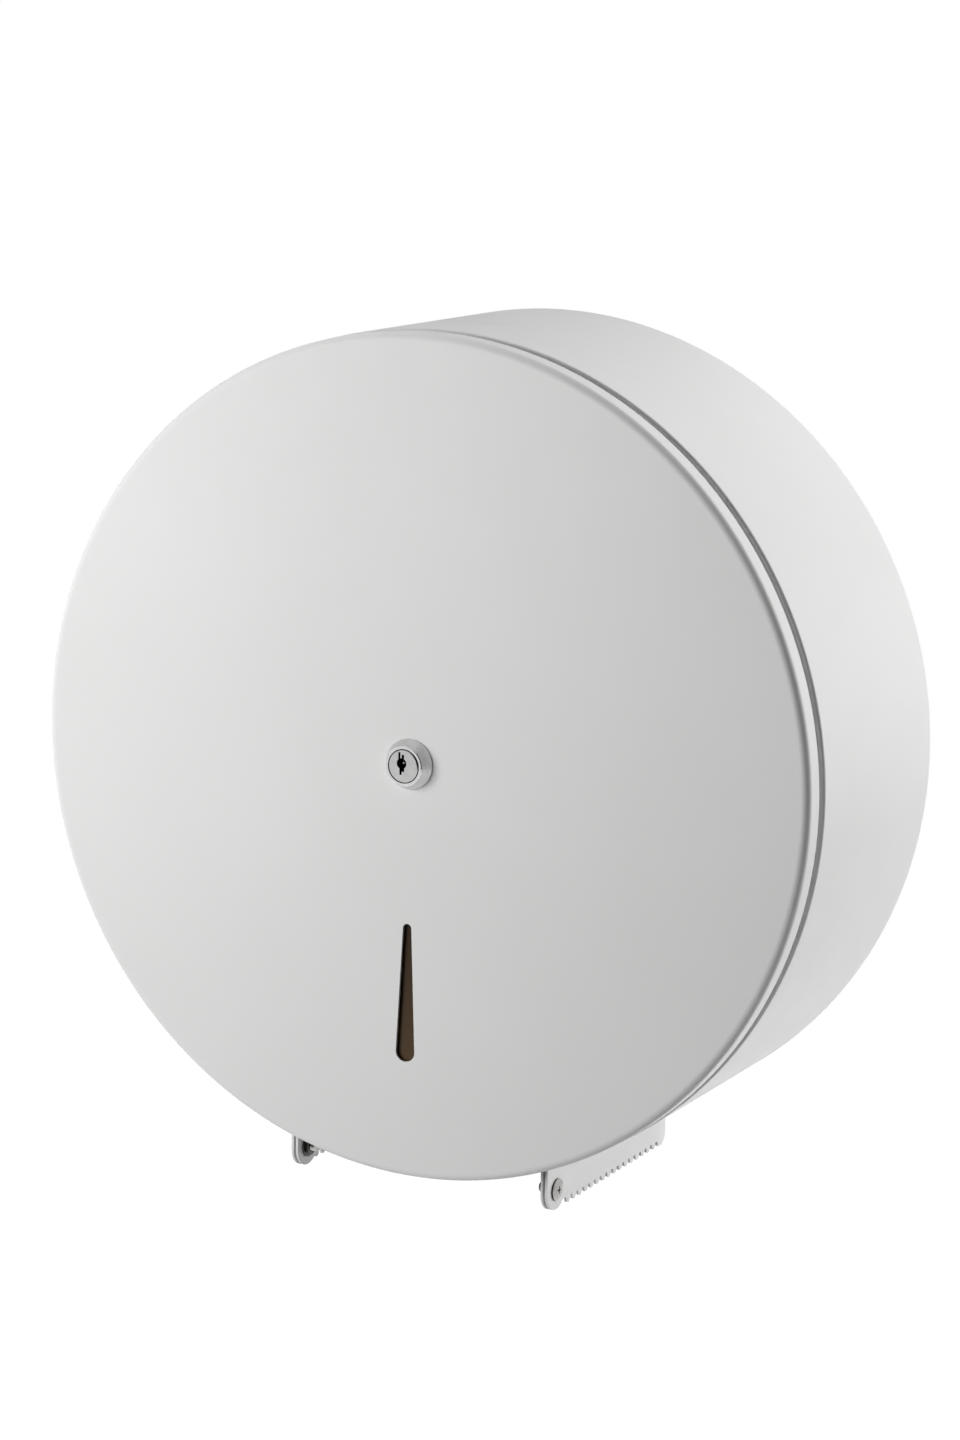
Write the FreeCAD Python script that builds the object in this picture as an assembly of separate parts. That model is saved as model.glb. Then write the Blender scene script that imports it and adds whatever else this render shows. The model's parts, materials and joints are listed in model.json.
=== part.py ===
import FreeCAD, Part
import math
import os
from FreeCAD import Vector

# Jumbo toilet roll dispenser: a round steel casing that hangs on a wall, with a hinged and locked
# front cover, a hub that turns inside for the roll, and toothed tear plates at the paper outlet.
# Own frame: origin on the casing's axis in the plane of the wall, +X to the right, +Y into the
# wall, +Z up. "Off the wall" is a distance from the wall towards the viewer, so along -Y.
# A turned piece is given by pairs of radius and distance off the wall.

# Casing
drum_radius = 158.0
body_depth = 118.0
sheet = 1.0
back_sheet = 1.5
rear_bend = 2.5
rear_flange_width = 9.0
shoulder_bend = 1.3
neck_bend = 0.4
neck_edge_bevel = 0.25

# Front cover, and how it laps over the drum's neck
cover_inset = 0.4
cover_wall_depth = 9.4
cover_bend = 3.0
cover_edge_round = 0.35
neck_play = 0.8
neck_lap = 4.9
groove_width = 3.8

# Sight slot: narrow at the top, wide at the bottom
slot_above_drum_bottom = 45.0
slot_length = 52.7
slot_top_radius = 1.7
slot_bottom_radius = 3.85
window_margin = 6.0
window_thickness = 1.5
window_corner = 3.0
tape_thickness = 0.8
tape_width = 3.5

# Back plate and its wall fixings
plate_step_gap = 1.5
plate_step_lap = 1.5
plate_rim_play = 2.1
wall_hole_spacing = 140.0
wall_hole_radius = 3.25

# Paper outlet and tear plates
outlet_width = 107.3
outlet_rear = 5.0
plate_sheet = 1.0
plate_rear = 2.3
plate_rear_corner = 4.5
plate_flange_width = 17.0
plate_flange_inset = 3.0
tooth_tip_below_drum = 8.5
tooth_pitch = 5.05
notch_width = 2.0
first_notch_lap = 0.1

# Cover hinge
hinge_behind_edge = 9.75
hinge_below_drum = 0.6
lobe_gap = 1.95
ear_sheet = 1.0
ear_arm_gap = 2.95
ear_arm_height = 14.5
ear_slope = 9.0
ear_foot_width = 14.0
ear_foot_corner = 3.0
hinge_play = 0.1
hinge_pin_radius = 2.0
hinge_bore_play = 0.06
screw_head_radius = 4.2
screw_head_height = 1.3
screw_head_rim = 0.2
screw_tip = 1.75
screw_tip_chamfer = 0.5
spacer_thickness = 0.8
spacer_radius = 4.6
inner_washer_thickness = 0.5
hinge_nut_flats = 6.6
hinge_nut_height = 1.4
cross_length = 3.0
cross_width = 0.7
cross_depth = 1.2

# Lock
lock_head_lap = 1.5
lock_head_lip = 0.6
lock_ring_width = 1.05
lock_head_height = 5.0
lock_ring_round = 0.4
barrel_radius = 8.0
barrel_flat_depth = 1.0
barrel_reach = 17.5
barrel_end_wall = 2.0
barrel_hole_play = 0.1
plug_radius = 6.0
plug_play = 0.05
plug_recess_play = 0.35
plug_recess_depth = 1.6
plug_proud = 0.3
plug_chamfer = 0.25
tail_radius = 4.0
tail_square = 5.0
tail_square_play = 0.05
lock_nut_wall = 2.0
lock_nut_height = 3.5
lock_washer_width = 4.0
lock_washer_thickness = 0.8
clip_width = 2.2
clip_thickness = 0.8
clip_play = 0.1
clip_groove_depth = 0.6

# Keyway, measured from the plug's centre
keyway_right = -0.6
keyway_up = 1.0
keyway_depth = 13.0
key_hole_radius = 2.0
key_pin_radius = 0.5
key_pin_recess = 1.0
key_left_width = 0.85
key_left_right = -0.95
key_left_top = 4.2
key_middle_width = 1.0
key_middle_right = 0.5
key_middle_top = 3.3
key_lower_width = 2.0
key_lower_right = 0.15
key_lower_bottom = 3.0
key_tip_width = 0.9
key_tip_right = -0.35
key_tip_bottom = 4.2

# Cam on the plug's tail
cam_length = 28.0
cam_width = 8.0
cam_thickness = 2.0
cam_gap = 1.2
cam_corner = 1.5
cam_screw_radius = 1.5
cam_screw_length = 5.0
cam_head_radius = 2.8
cam_head_height = 1.9
cam_head_round = 0.8
cam_washer_radius = 4.0
cam_washer_thickness = 0.5

# Strike cup that the cam catches
strike_slot_margin = 1.0
strike_wall = 1.5
strike_gap = 2.1
strike_face_sheet = 1.2
strike_depth = 17.4
strike_back_sheet = 2.0
strike_round = 1.0
cam_slot_end_play = 1.5
cam_slot_side_play = 1.25
strike_screw_radius = 2.5
strike_screw_length = 12.0
strike_head_radius = 4.6
strike_head_height = 3.0
strike_head_round = 1.6

# Axle
axle_radius = 10.0
axle_wall = 2.0
insert_length = 14.0
axle_base_radius = 29.0
axle_base_sheet = 2.0
axle_boss_radius = 13.0
axle_boss_height = 5.0
boss_round = 1.0
rivet_radius = 2.0
rivet_head_radius = 3.8
rivet_head_height = 1.4
rivet_head_round = 1.1
rivet_count = 4
seat_play = 0.05

# Roll hub
hub_radius = 21.7
hub_wall = 2.2
hub_rib_height = 0.5
hub_rib_width = 3.0
hub_rib_count = 6
hub_chamfer = 1.5
hub_web = 4.0
hub_flange_radius = 40.0
hub_flange_thickness = 3.0
hub_flange_round = 1.2
bush_radius = 12.5
bush_flange_radius = 15.0
bush_flange_thickness = 1.2
bush_length = 9.0
bush_play = 0.06
thrust_washer_radius = 14.0
thrust_washer_thickness = 0.8
thrust_play = 0.3

# Small values that every cut shares: how far a cutter runs past, and how close a size must match
overrun = 1.0
match = 0.001

# Worked out from the sizes above
cover_radius = drum_radius - cover_inset
cover_inner_radius = cover_radius - sheet
cover_inner_face = body_depth - sheet
cover_edge = body_depth - cover_wall_depth
neck_radius = cover_inner_radius - neck_play
neck_front = cover_edge + neck_lap
shoulder = cover_edge - groove_width
drum_inner_radius = drum_radius - sheet
flange_inner_radius = drum_radius - rear_flange_width
slot_bottom = slot_above_drum_bottom - drum_radius
slot_top = slot_bottom + slot_length
hinge_off_wall = cover_edge - hinge_behind_edge
hinge_drop = drum_radius + hinge_below_drum
lobe_radius = hinge_behind_edge - lobe_gap
tooth_tip_drop = drum_radius + tooth_tip_below_drum
first_notch = hinge_off_wall - lobe_radius + first_notch_lap
plate_inner_face = outlet_width / 2
plate_outer_face = plate_inner_face + plate_sheet
outlet_half_width = plate_outer_face + seat_play
ear_outer_face = plate_inner_face - spacer_thickness - hinge_play
ear_inner_face = ear_outer_face - ear_sheet
inner_washer_face = ear_inner_face - hinge_play
nut_face = inner_washer_face - inner_washer_thickness
screw_end = nut_face - hinge_nut_height - screw_tip
screw_dome_height = screw_head_height - screw_head_rim
screw_dome_radius = (screw_head_radius ** 2 + screw_dome_height ** 2) / (2 * screw_dome_height)
ear_step_drop = math.sqrt(cover_inner_radius ** 2 - ear_outer_face ** 2) - ear_arm_gap
ear_top_drop = ear_step_drop - ear_arm_height
lock_head_radius = barrel_radius + lock_head_lap
lock_ring_radius = plug_radius + plug_recess_play + lock_ring_width
lock_nut_flats = 2 * (barrel_radius + lock_nut_wall)
lock_washer_radius = barrel_radius + lock_washer_width
barrel_flat = barrel_radius - barrel_flat_depth
barrel_end = cover_inner_face - barrel_reach
lock_front = body_depth + lock_head_height
plug_front = lock_front + plug_proud
plug_rear = barrel_end + barrel_end_wall
clip_front = barrel_end - clip_play
clip_radius = tail_radius + clip_width
strike_face = barrel_end - strike_gap
strike_back = strike_face - strike_depth
strike_radius = cam_length / 2 + cam_slot_end_play + strike_slot_margin + strike_wall
cam_front = strike_face - strike_face_sheet - cam_gap
cam_rear = cam_front - cam_thickness
axle_front = strike_back
rivet_circle_radius = (axle_base_radius + axle_boss_radius) / 2
boss_top = back_sheet + axle_base_sheet + axle_boss_height
hub_rear = boss_top + thrust_washer_thickness + thrust_play + bush_flange_thickness
hub_front = strike_back - thrust_washer_thickness - thrust_play - bush_flange_thickness

OFF_WALL = Vector(0, -1, 0)


def round_bar(radius, start, end, right=0, up=0):
    """A solid cylinder square to the wall, between two distances off it."""
    return Part.makeCylinder(radius, end - start, Vector(right, -start, up), OFF_WALL)


def round_tube(outer, inner, start, end, right=0, up=0):
    """A round tube square to the wall."""
    bore = round_bar(inner, start - overrun, end + overrun, right, up)
    return round_bar(outer, start, end, right, up).cut(bore)


def turned(outline):
    """A piece turned about the casing's axis from pairs of radius and distance off the wall."""
    corners = [Vector(radius, -distance, 0) for radius, distance in outline]
    face = Part.Face(Part.makePolygon(corners + corners[:1]))
    return face.revolve(Vector(0, 0, 0), Vector(0, 1, 0), 360)


def block(left, right, start, end, low, high):
    """A box between two sides, two distances off the wall and two heights."""
    return Part.makeBox(right - left, end - start, high - low, Vector(left, -end, low))


def ring_edges(shape, radius, distance):
    """The circles of a turned piece that have one radius and one distance off the wall."""
    found = []
    for edge in shape.Edges:
        curve = edge.Curve
        if not isinstance(curve, Part.Circle):
            continue
        same_radius = abs(curve.Radius - radius) < match
        if same_radius and abs(curve.Center.y + distance) < match:
            found.append(edge)
    return found


def rounded(shape, size, rings):
    """Fillets the circles given as pairs of radius and distance off the wall."""
    edges = [edge for radius, distance in rings for edge in ring_edges(shape, radius, distance)]
    return shape.makeFillet(size, edges)


def bevelled(shape, size, rings):
    """Chamfers the circles given as pairs of radius and distance off the wall."""
    edges = [edge for radius, distance in rings for edge in ring_edges(shape, radius, distance)]
    return shape.makeChamfer(size, edges)


def corners_along_axis(shape, size):
    """Rounds the straight edges that run square to the wall."""
    edges = []
    for edge in shape.Edges:
        if isinstance(edge.Curve, Part.Line) and abs(abs(edge.Curve.Direction.y) - 1) < match:
            edges.append(edge)
    return shape.makeFillet(size, edges)


def hexagon_bar(flats, start, end):
    """A hexagonal bar square to the wall, on the casing's axis."""
    reach = flats / math.sqrt(3)
    corners = []
    for step in range(7):
        turn = math.radians(60 * step)
        corners.append(Vector(reach * math.cos(turn), -start, reach * math.sin(turn)))
    return Part.Face(Part.makePolygon(corners)).extrude(OFF_WALL * (end - start))


def joined(first, *others):
    """Several overlapping solids made into one."""
    return first.fuse(list(others)).removeSplitter()


def build_drum_shell():
    """Band of sheet with a rear flange, a shoulder and the neck that the cover laps over."""
    outside = joined(round_bar(drum_radius, 0, shoulder), round_bar(neck_radius, 0, neck_front))
    outside = rounded(outside, shoulder_bend, [(drum_radius, shoulder)])
    outside = rounded(outside, rear_bend, [(drum_radius, 0)])
    outside = rounded(outside, neck_bend, [(neck_radius, shoulder)])
    neck_inner_radius = neck_radius - sheet
    inner_shoulder = shoulder - sheet
    inside = round_bar(drum_inner_radius, sheet, inner_shoulder)
    inside = inside.fuse(round_bar(neck_inner_radius, sheet, neck_front + overrun)).removeSplitter()
    inside = rounded(inside, rear_bend - sheet, [(drum_inner_radius, sheet)])
    inside = rounded(inside, shoulder_bend - sheet, [(drum_inner_radius, inner_shoulder)])
    inside = rounded(inside, neck_bend + sheet, [(neck_inner_radius, inner_shoulder)])
    shell = outside.cut(inside).cut(round_bar(flange_inner_radius, -overrun, sheet + overrun))
    rim = [(neck_radius, neck_front), (neck_inner_radius, neck_front)]
    shell = bevelled(shell, neck_edge_bevel, rim)
    outlet = block(-outlet_half_width, outlet_half_width, outlet_rear, neck_front + overrun,
                   -drum_radius - overrun, 0)
    return shell.cut(outlet)


def build_back_plate():
    """Plate flush with the rear flange, with a rim stepped forward to lie on the flange."""
    middle = flange_inner_radius - plate_step_gap
    step = middle - plate_step_lap
    rim = drum_inner_radius - plate_rim_play
    rim_front = sheet + back_sheet
    plate = turned([(0, 0), (middle, 0), (middle, sheet), (rim, sheet), (rim, rim_front),
                    (step, rim_front), (step, back_sheet), (0, back_sheet)])
    half = wall_hole_spacing / 2
    for right in (-half, half):
        for up in (-half, half):
            plate = plate.cut(round_bar(wall_hole_radius, -overrun, rim_front, right, up))
    for right, up in rivet_places():
        plate = plate.cut(round_bar(rivet_radius + seat_play, -overrun, rim_front, right, up))
    return plate


def rivet_places():
    """Where the rivets of the axle's base stand, evenly round the axle."""
    places = []
    for index in range(rivet_count):
        turn = math.pi * (2 * index + 1) / rivet_count
        places.append((rivet_circle_radius * math.cos(turn), rivet_circle_radius * math.sin(turn)))
    return places


def build_axle_base():
    """Round foot on the back plate with a boss round the axle."""
    front = back_sheet + axle_base_sheet
    foot = joined(round_bar(axle_base_radius, back_sheet, front),
                  round_bar(axle_boss_radius, back_sheet, boss_top))
    foot = rounded(foot, boss_round, [(axle_boss_radius, front)])
    foot = foot.cut(round_bar(axle_radius + seat_play, 0, boss_top + overrun))
    for right, up in rivet_places():
        foot = foot.cut(round_bar(rivet_radius + seat_play, 0, boss_top, right, up))
    return foot


def build_base_rivets():
    """Rivets through the foot and the back plate, flush behind and domed in front."""
    front = back_sheet + axle_base_sheet
    rivets = []
    for right, up in rivet_places():
        head_top = front + rivet_head_height
        head = round_bar(rivet_head_radius, front, head_top, right, up)
        head = rounded(head, rivet_head_round, [(rivet_head_radius, head_top)])
        rivets.append(joined(head, round_bar(rivet_radius, 0, head_top, right, up)))
    return Part.makeCompound(rivets)


def build_spindle_axle():
    """Fixed tube that the hub turns on."""
    return round_tube(axle_radius, axle_radius - axle_wall, back_sheet, axle_front)


def build_axle_insert():
    """Threaded plug in the axle's front end."""
    radius = axle_radius - axle_wall - seat_play
    bore = strike_screw_radius + seat_play
    return round_tube(radius, bore, axle_front - insert_length, axle_front)


def build_strike_cup():
    """Cup on the axle's front end, its face slotted for the lock's cam."""
    cup = round_bar(strike_radius, strike_back, strike_face)
    cup = rounded(cup, strike_round, [(strike_radius, strike_face), (strike_radius, strike_back)])
    hollow = round_bar(strike_radius - strike_wall, strike_back + strike_back_sheet,
                       strike_face - strike_face_sheet)
    cup = cup.cut(hollow)
    cup = cup.cut(round_bar(strike_screw_radius + seat_play, strike_back - overrun,
                            strike_back + strike_back_sheet + overrun))
    half_length = cam_length / 2 + cam_slot_end_play
    half_width = cam_width / 2 + cam_slot_side_play
    slot = block(-half_length, half_length, strike_face - strike_face_sheet - overrun,
                 strike_face + overrun, -half_width, half_width)
    return cup.cut(corners_along_axis(slot, cam_slot_end_play))


def cross_recess(top, length, width, depth):
    """Cutter for a cross recess in a screw head that faces off the wall."""
    half = length / 2
    side = width / 2
    bottom = top - depth
    across = block(-half, half, bottom, top + overrun, -side, side)
    upright = block(-side, side, bottom, top + overrun, -half, half)
    return joined(across, upright)


def build_strike_screw():
    """Screw that clamps the strike cup to the axle."""
    seat = strike_back + strike_back_sheet
    top = seat + strike_head_height
    head = rounded(round_bar(strike_head_radius, seat, top), strike_head_round,
                   [(strike_head_radius, top)])
    screw = joined(head, round_bar(strike_screw_radius, seat - strike_screw_length, top))
    return screw.cut(cross_recess(top, cross_length, cross_width, cross_depth))


def build_hub_washers():
    """Thrust washers behind and in front of the hub."""
    bore = axle_radius + seat_play
    rear = round_tube(thrust_washer_radius, bore, boss_top, boss_top + thrust_washer_thickness)
    front = round_tube(thrust_washer_radius, bore, axle_front - thrust_washer_thickness, axle_front)
    return Part.makeCompound([rear, front])


def build_roll_hub():
    """Hollow hub for the roll's core, with a rear flange, two webs and shallow ribs."""
    hub = round_bar(hub_radius, hub_rear, hub_front)
    rib_end = hub_front - hub_chamfer * 2
    for index in range(hub_rib_count):
        rib = block(-hub_rib_width / 2, hub_rib_width / 2, hub_rear, rib_end, 0,
                    hub_radius + hub_rib_height)
        rib.rotate(Vector(0, 0, 0), OFF_WALL, 360 * index / hub_rib_count)
        hub = hub.fuse(rib)
    hub = hub.removeSplitter()
    hub = bevelled(hub, hub_chamfer, [(hub_radius, hub_front)])
    flange_front = hub_rear + hub_flange_thickness
    flange = round_bar(hub_flange_radius, hub_rear, flange_front)
    rings = [(hub_flange_radius, hub_rear), (hub_flange_radius, flange_front)]
    hub = joined(hub, rounded(flange, hub_flange_round, rings))
    hub = hub.cut(round_bar(hub_radius - hub_wall, hub_rear + hub_web, hub_front - hub_web))
    return hub.cut(round_bar(bush_radius + seat_play, hub_rear - overrun, hub_front + overrun))


def build_hub_bush(inner_end, outer_end):
    """Flanged bearing bush in a web of the hub: its flange lies at the outer end."""
    start, end = sorted((inner_end, outer_end))
    inward = 1 if inner_end > outer_end else -1
    flange_edge = outer_end + inward * bush_flange_thickness
    flange_start, flange_finish = sorted((outer_end, flange_edge))
    bush = joined(round_bar(bush_radius, start, end),
                  round_bar(bush_flange_radius, flange_start, flange_finish))
    return bush.cut(round_bar(axle_radius + bush_play, start - overrun, end + overrun))


def count_notches():
    """As many notches as the plate has room for, ahead of its rear corner."""
    ends = notch_width / 2 + (tooth_pitch - notch_width) / 2
    room = first_notch - ends - plate_rear - plate_rear_corner
    return int(room / tooth_pitch) + 1


def tear_plate_outline():
    """Closed outline of a tear plate, as a wire in the plane through the casing's axis."""
    tooth_width = tooth_pitch - notch_width
    tip = -tooth_tip_drop
    middle = tip + tooth_width / 2
    root = middle + notch_width / 2
    hinge_up = -hinge_drop
    front = hinge_off_wall + lobe_radius

    def at(distance, up):
        return Vector(0, -distance, up)

    def arc(start, via, end):
        return Part.Arc(at(*start), at(*via), at(*end)).toShape()

    def line(start, end):
        return Part.LineSegment(at(*start), at(*end)).toShape()

    root_chord = math.sqrt(lobe_radius ** 2 - (hinge_up - root) ** 2)
    lobe_end = (hinge_off_wall - root_chord, root)
    notch = first_notch
    half_notch = notch_width / 2
    diagonal_share = math.sqrt(0.5)
    edges = [line((front, 0), (front, hinge_up)),
             arc((front, hinge_up), (hinge_off_wall, hinge_up - lobe_radius), lobe_end),
             line(lobe_end, (notch, root)),
             arc((notch, root),
                 (notch - half_notch * diagonal_share, middle + half_notch * diagonal_share),
                 (notch - half_notch, middle))]
    for index in range(count_notches() - 1):
        behind = notch - half_notch
        edges.append(arc((behind, middle), (behind - tooth_width / 2, tip),
                         (behind - tooth_width, middle)))
        notch -= tooth_pitch
        edges.append(arc((notch + half_notch, middle), (notch, root),
                         (notch - half_notch, middle)))
    last = notch - half_notch
    reach = tooth_width / 2
    bulge = reach * diagonal_share
    corner_centre = (plate_rear + plate_rear_corner, tip + plate_rear_corner)
    corner_bulge = plate_rear_corner * diagonal_share
    edges.append(arc((last, middle), (last - reach + bulge, middle - bulge), (last - reach, tip)))
    if last - reach - corner_centre[0] > match:
        edges.append(line((last - reach, tip), (corner_centre[0], tip)))
    edges.append(arc((corner_centre[0], tip),
                     (corner_centre[0] - corner_bulge, corner_centre[1] - corner_bulge),
                     (plate_rear, corner_centre[1])))
    edges.append(line((plate_rear, corner_centre[1]), (plate_rear, 0)))
    edges.append(line((plate_rear, 0), (front, 0)))
    return Part.Wire(edges)


def build_tear_plate(side):
    """Toothed plate beside the outlet, with a flange welded to the drum's inner wall."""
    flange_outer = drum_inner_radius - seat_play
    flange_inner = flange_outer - plate_sheet
    plate = Part.Face(tear_plate_outline()).extrude(Vector(plate_sheet, 0, 0))
    plate.translate(Vector(plate_inner_face, 0, 0))
    plate = plate.cut(round_bar(flange_inner, -overrun, body_depth))
    plate = plate.cut(round_bar(drum_radius + seat_play, -overrun, outlet_rear + seat_play))
    flange_start = outlet_rear + plate_flange_inset
    flange_end = shoulder - sheet - plate_flange_inset
    flange = round_tube(flange_outer, flange_inner, flange_start, flange_end)
    strip = block(plate_inner_face, plate_outer_face + plate_flange_width, flange_start, flange_end,
                  -drum_radius, 0)
    plate = joined(plate, flange.common(strip))
    plate = plate.cut(side_bar(hinge_pin_radius + seat_play, plate_inner_face - overrun,
                               plate_outer_face + overrun))
    return on_side(plate, side)


def side_bar(radius, start, end):
    """A cylinder on the hinge's axis, between two distances to the right."""
    base = Vector(start, -hinge_off_wall, -hinge_drop)
    return Part.makeCylinder(radius, end - start, base, Vector(1, 0, 0))


def side_tube(outer, inner, start, end):
    """A tube on the hinge's axis."""
    return side_bar(outer, start, end).cut(side_bar(inner, start - overrun, end + overrun))


def on_side(shape, side):
    """The right-hand piece itself, or its mirror image for the left."""
    if side > 0:
        return shape
    return shape.mirror(Vector(0, 0, 0), Vector(1, 0, 0))


def both_sides(shape):
    """The right-hand piece and its mirror image as separate solids."""
    return Part.makeCompound([on_side(shape, 1), on_side(shape, -1)])


def build_hinge_ear(side):
    """Strap of the cover: a lobe on the hinge screw, an arm forward and a welded foot."""
    front = hinge_off_wall + lobe_radius
    rear = hinge_off_wall - lobe_radius
    top = -ear_top_drop
    step = -ear_step_drop
    corners = [(front, -hinge_drop), (front, step), (cover_inner_face, step),
               (cover_inner_face, top), (rear + ear_slope, top), (rear, top - ear_slope),
               (rear, -hinge_drop)]
    points = [Vector(ear_inner_face, -distance, up) for distance, up in corners]
    lobe_bottom = Vector(ear_inner_face, -hinge_off_wall, -hinge_drop - lobe_radius)
    sides = Part.makePolygon(points)
    lobe = Part.Arc(points[-1], lobe_bottom, points[0]).toShape()
    strap = Part.Face(Part.Wire(sides.Edges + [lobe])).extrude(Vector(ear_sheet, 0, 0))
    foot = block(ear_inner_face - ear_foot_width, ear_outer_face, cover_inner_face - ear_sheet,
                 cover_inner_face, step, top)
    foot_edges = []
    for edge in foot.Edges:
        straight = abs(abs(edge.Curve.Direction.y) - 1) < match
        if straight and edge.CenterOfMass.x < ear_inner_face:
            foot_edges.append(edge)
    foot = foot.makeFillet(ear_foot_corner, foot_edges)
    ear = joined(strap, foot)
    bore = hinge_pin_radius + hinge_bore_play
    ear = ear.cut(side_bar(bore, ear_inner_face - overrun, ear_outer_face + overrun))
    return on_side(ear, side)


def build_hinge_screws():
    """Screws with a low dome for a head that the cover swings on, one each side."""
    head_top = plate_outer_face + screw_head_height
    head = side_bar(screw_head_radius, plate_outer_face, head_top)
    shank = side_bar(hinge_pin_radius, screw_end, head_top)
    edges = [edge for edge in shank.Edges
             if isinstance(edge.Curve, Part.Circle) and abs(edge.Curve.Center.x - screw_end) < match]
    shank = shank.makeChamfer(screw_tip_chamfer, edges)
    centre = Vector(head_top - screw_dome_radius, -hinge_off_wall, -hinge_drop)
    dome = Part.makeSphere(screw_dome_radius, centre, Vector(1, 0, 0))
    screw = joined(head, shank).common(dome)
    half = cross_length / 2
    side = cross_width / 2
    start = head_top - cross_depth
    for deep, tall in ((half, side), (side, half)):
        arm = Part.makeBox(cross_depth + overrun, 2 * deep, 2 * tall,
                           Vector(start, -hinge_off_wall - deep, -hinge_drop - tall))
        screw = screw.cut(arm)
    return both_sides(screw)


def build_hinge_nuts():
    """Nuts on the inner side of the ears."""
    reach = hinge_nut_flats / math.sqrt(3)
    corners = []
    for step in range(7):
        turn = math.radians(60 * step)
        corners.append(Vector(nut_face - hinge_nut_height, -hinge_off_wall + reach * math.cos(turn),
                              -hinge_drop + reach * math.sin(turn)))
    nut = Part.Face(Part.makePolygon(corners)).extrude(Vector(hinge_nut_height, 0, 0))
    nut = nut.cut(side_bar(hinge_pin_radius + seat_play, nut_face - hinge_nut_height - overrun,
                           nut_face + overrun))
    return both_sides(nut)


def build_hinge_washers():
    """Washers outside and inside each ear."""
    bore = hinge_pin_radius + seat_play
    outer = side_tube(spacer_radius, bore, plate_inner_face - spacer_thickness, plate_inner_face)
    inner = side_tube(spacer_radius, bore, nut_face, inner_washer_face)
    return Part.makeCompound([on_side(washer, side) for side in (1, -1) for washer in (outer, inner)])


def slot_cutter():
    """The tapered slot: two round ends joined by lines that touch both."""
    top_centre = slot_top - slot_top_radius
    bottom_centre = slot_bottom + slot_bottom_radius
    lean = math.asin((slot_bottom_radius - slot_top_radius) / (top_centre - bottom_centre))

    def at(right, up):
        return Vector(right, -cover_inner_face + overrun, up)

    def touch(radius, centre, side):
        return at(side * radius * math.cos(lean), centre + radius * math.sin(lean))

    top_left = touch(slot_top_radius, top_centre, -1)
    top_right = touch(slot_top_radius, top_centre, 1)
    bottom_left = touch(slot_bottom_radius, bottom_centre, -1)
    bottom_right = touch(slot_bottom_radius, bottom_centre, 1)
    wire = Part.Wire([Part.Arc(top_left, at(0, slot_top), top_right).toShape(),
                      Part.LineSegment(top_right, bottom_right).toShape(),
                      Part.Arc(bottom_right, at(0, slot_bottom), bottom_left).toShape(),
                      Part.LineSegment(bottom_left, top_left).toShape()])
    return Part.Face(wire).extrude(OFF_WALL * (sheet + 2 * overrun))


def flatted_bar(radius, flat, start, end):
    """A round bar with a flat on its left and its right."""
    bar = round_bar(radius, start, end)
    return bar.common(block(-flat, flat, start, end, -radius, radius))


def build_front_cover():
    """Round pan with a bent rim, a hole for the lock and the sight slot."""
    outside = rounded(round_bar(cover_radius, cover_edge, body_depth), cover_bend,
                      [(cover_radius, body_depth)])
    inside = rounded(round_bar(cover_inner_radius, cover_edge - overrun, cover_inner_face),
                     cover_bend - sheet, [(cover_inner_radius, cover_inner_face)])
    pan = outside.cut(inside)
    pan = rounded(pan, cover_edge_round,
                  [(cover_radius, cover_edge), (cover_inner_radius, cover_edge)])
    hole = flatted_bar(barrel_radius + barrel_hole_play, barrel_flat + barrel_hole_play,
                       cover_inner_face - overrun, body_depth + overrun)
    return pan.cut(hole).cut(slot_cutter())


def window_block(margin, thickness, front):
    """A flat strip round the slot, with rounded corners."""
    half = slot_bottom_radius + margin
    strip = block(-half, half, front - thickness, front, slot_bottom - margin, slot_top + margin)
    return corners_along_axis(strip, window_corner)


def build_window_tape():
    """Frame of foam tape between the cover and the window."""
    tape = window_block(window_margin, tape_thickness, cover_inner_face)
    inner_margin = window_margin - tape_width
    half = slot_bottom_radius + inner_margin
    opening = block(-half, half, cover_inner_face - tape_thickness - overrun,
                    cover_inner_face + overrun, slot_bottom - inner_margin, slot_top + inner_margin)
    return tape.cut(opening)


def build_sight_window():
    """Smoked strip behind the slot."""
    return window_block(window_margin, window_thickness, cover_inner_face - tape_thickness)


def build_lock_housing():
    """Cone head on a flatted barrel, bored for the plug."""
    cone = turned([(0, body_depth), (lock_head_radius, body_depth),
                   (lock_head_radius, body_depth + lock_head_lip),
                   (lock_ring_radius, lock_front), (0, lock_front)])
    cone = rounded(cone, lock_ring_round, [(lock_ring_radius, lock_front)])
    barrel = flatted_bar(barrel_radius, barrel_flat, barrel_end, body_depth + overrun)
    body = joined(cone, barrel)
    body = body.cut(round_bar(plug_radius + plug_play, plug_rear, lock_front + overrun))
    body = body.cut(round_bar(plug_radius + plug_recess_play, lock_front - plug_recess_depth,
                              lock_front + overrun))
    return body.cut(round_bar(tail_radius + plug_play, barrel_end - overrun, plug_rear + overrun))


def build_lock_washer():
    """Washer between the cover and the lock's nut."""
    front = cover_inner_face
    rear = front - lock_washer_thickness
    washer = round_bar(lock_washer_radius, rear, front)
    hole = flatted_bar(barrel_radius + barrel_hole_play, barrel_flat + barrel_hole_play,
                       rear - overrun, front + overrun)
    return washer.cut(hole)


def build_lock_nut():
    """Hexagon nut that clamps the lock to the cover."""
    front = cover_inner_face - lock_washer_thickness
    rear = front - lock_nut_height
    bore = round_bar(barrel_radius + barrel_hole_play, rear - overrun, front + overrun)
    return hexagon_bar(lock_nut_flats, rear, front).cut(bore)


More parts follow.
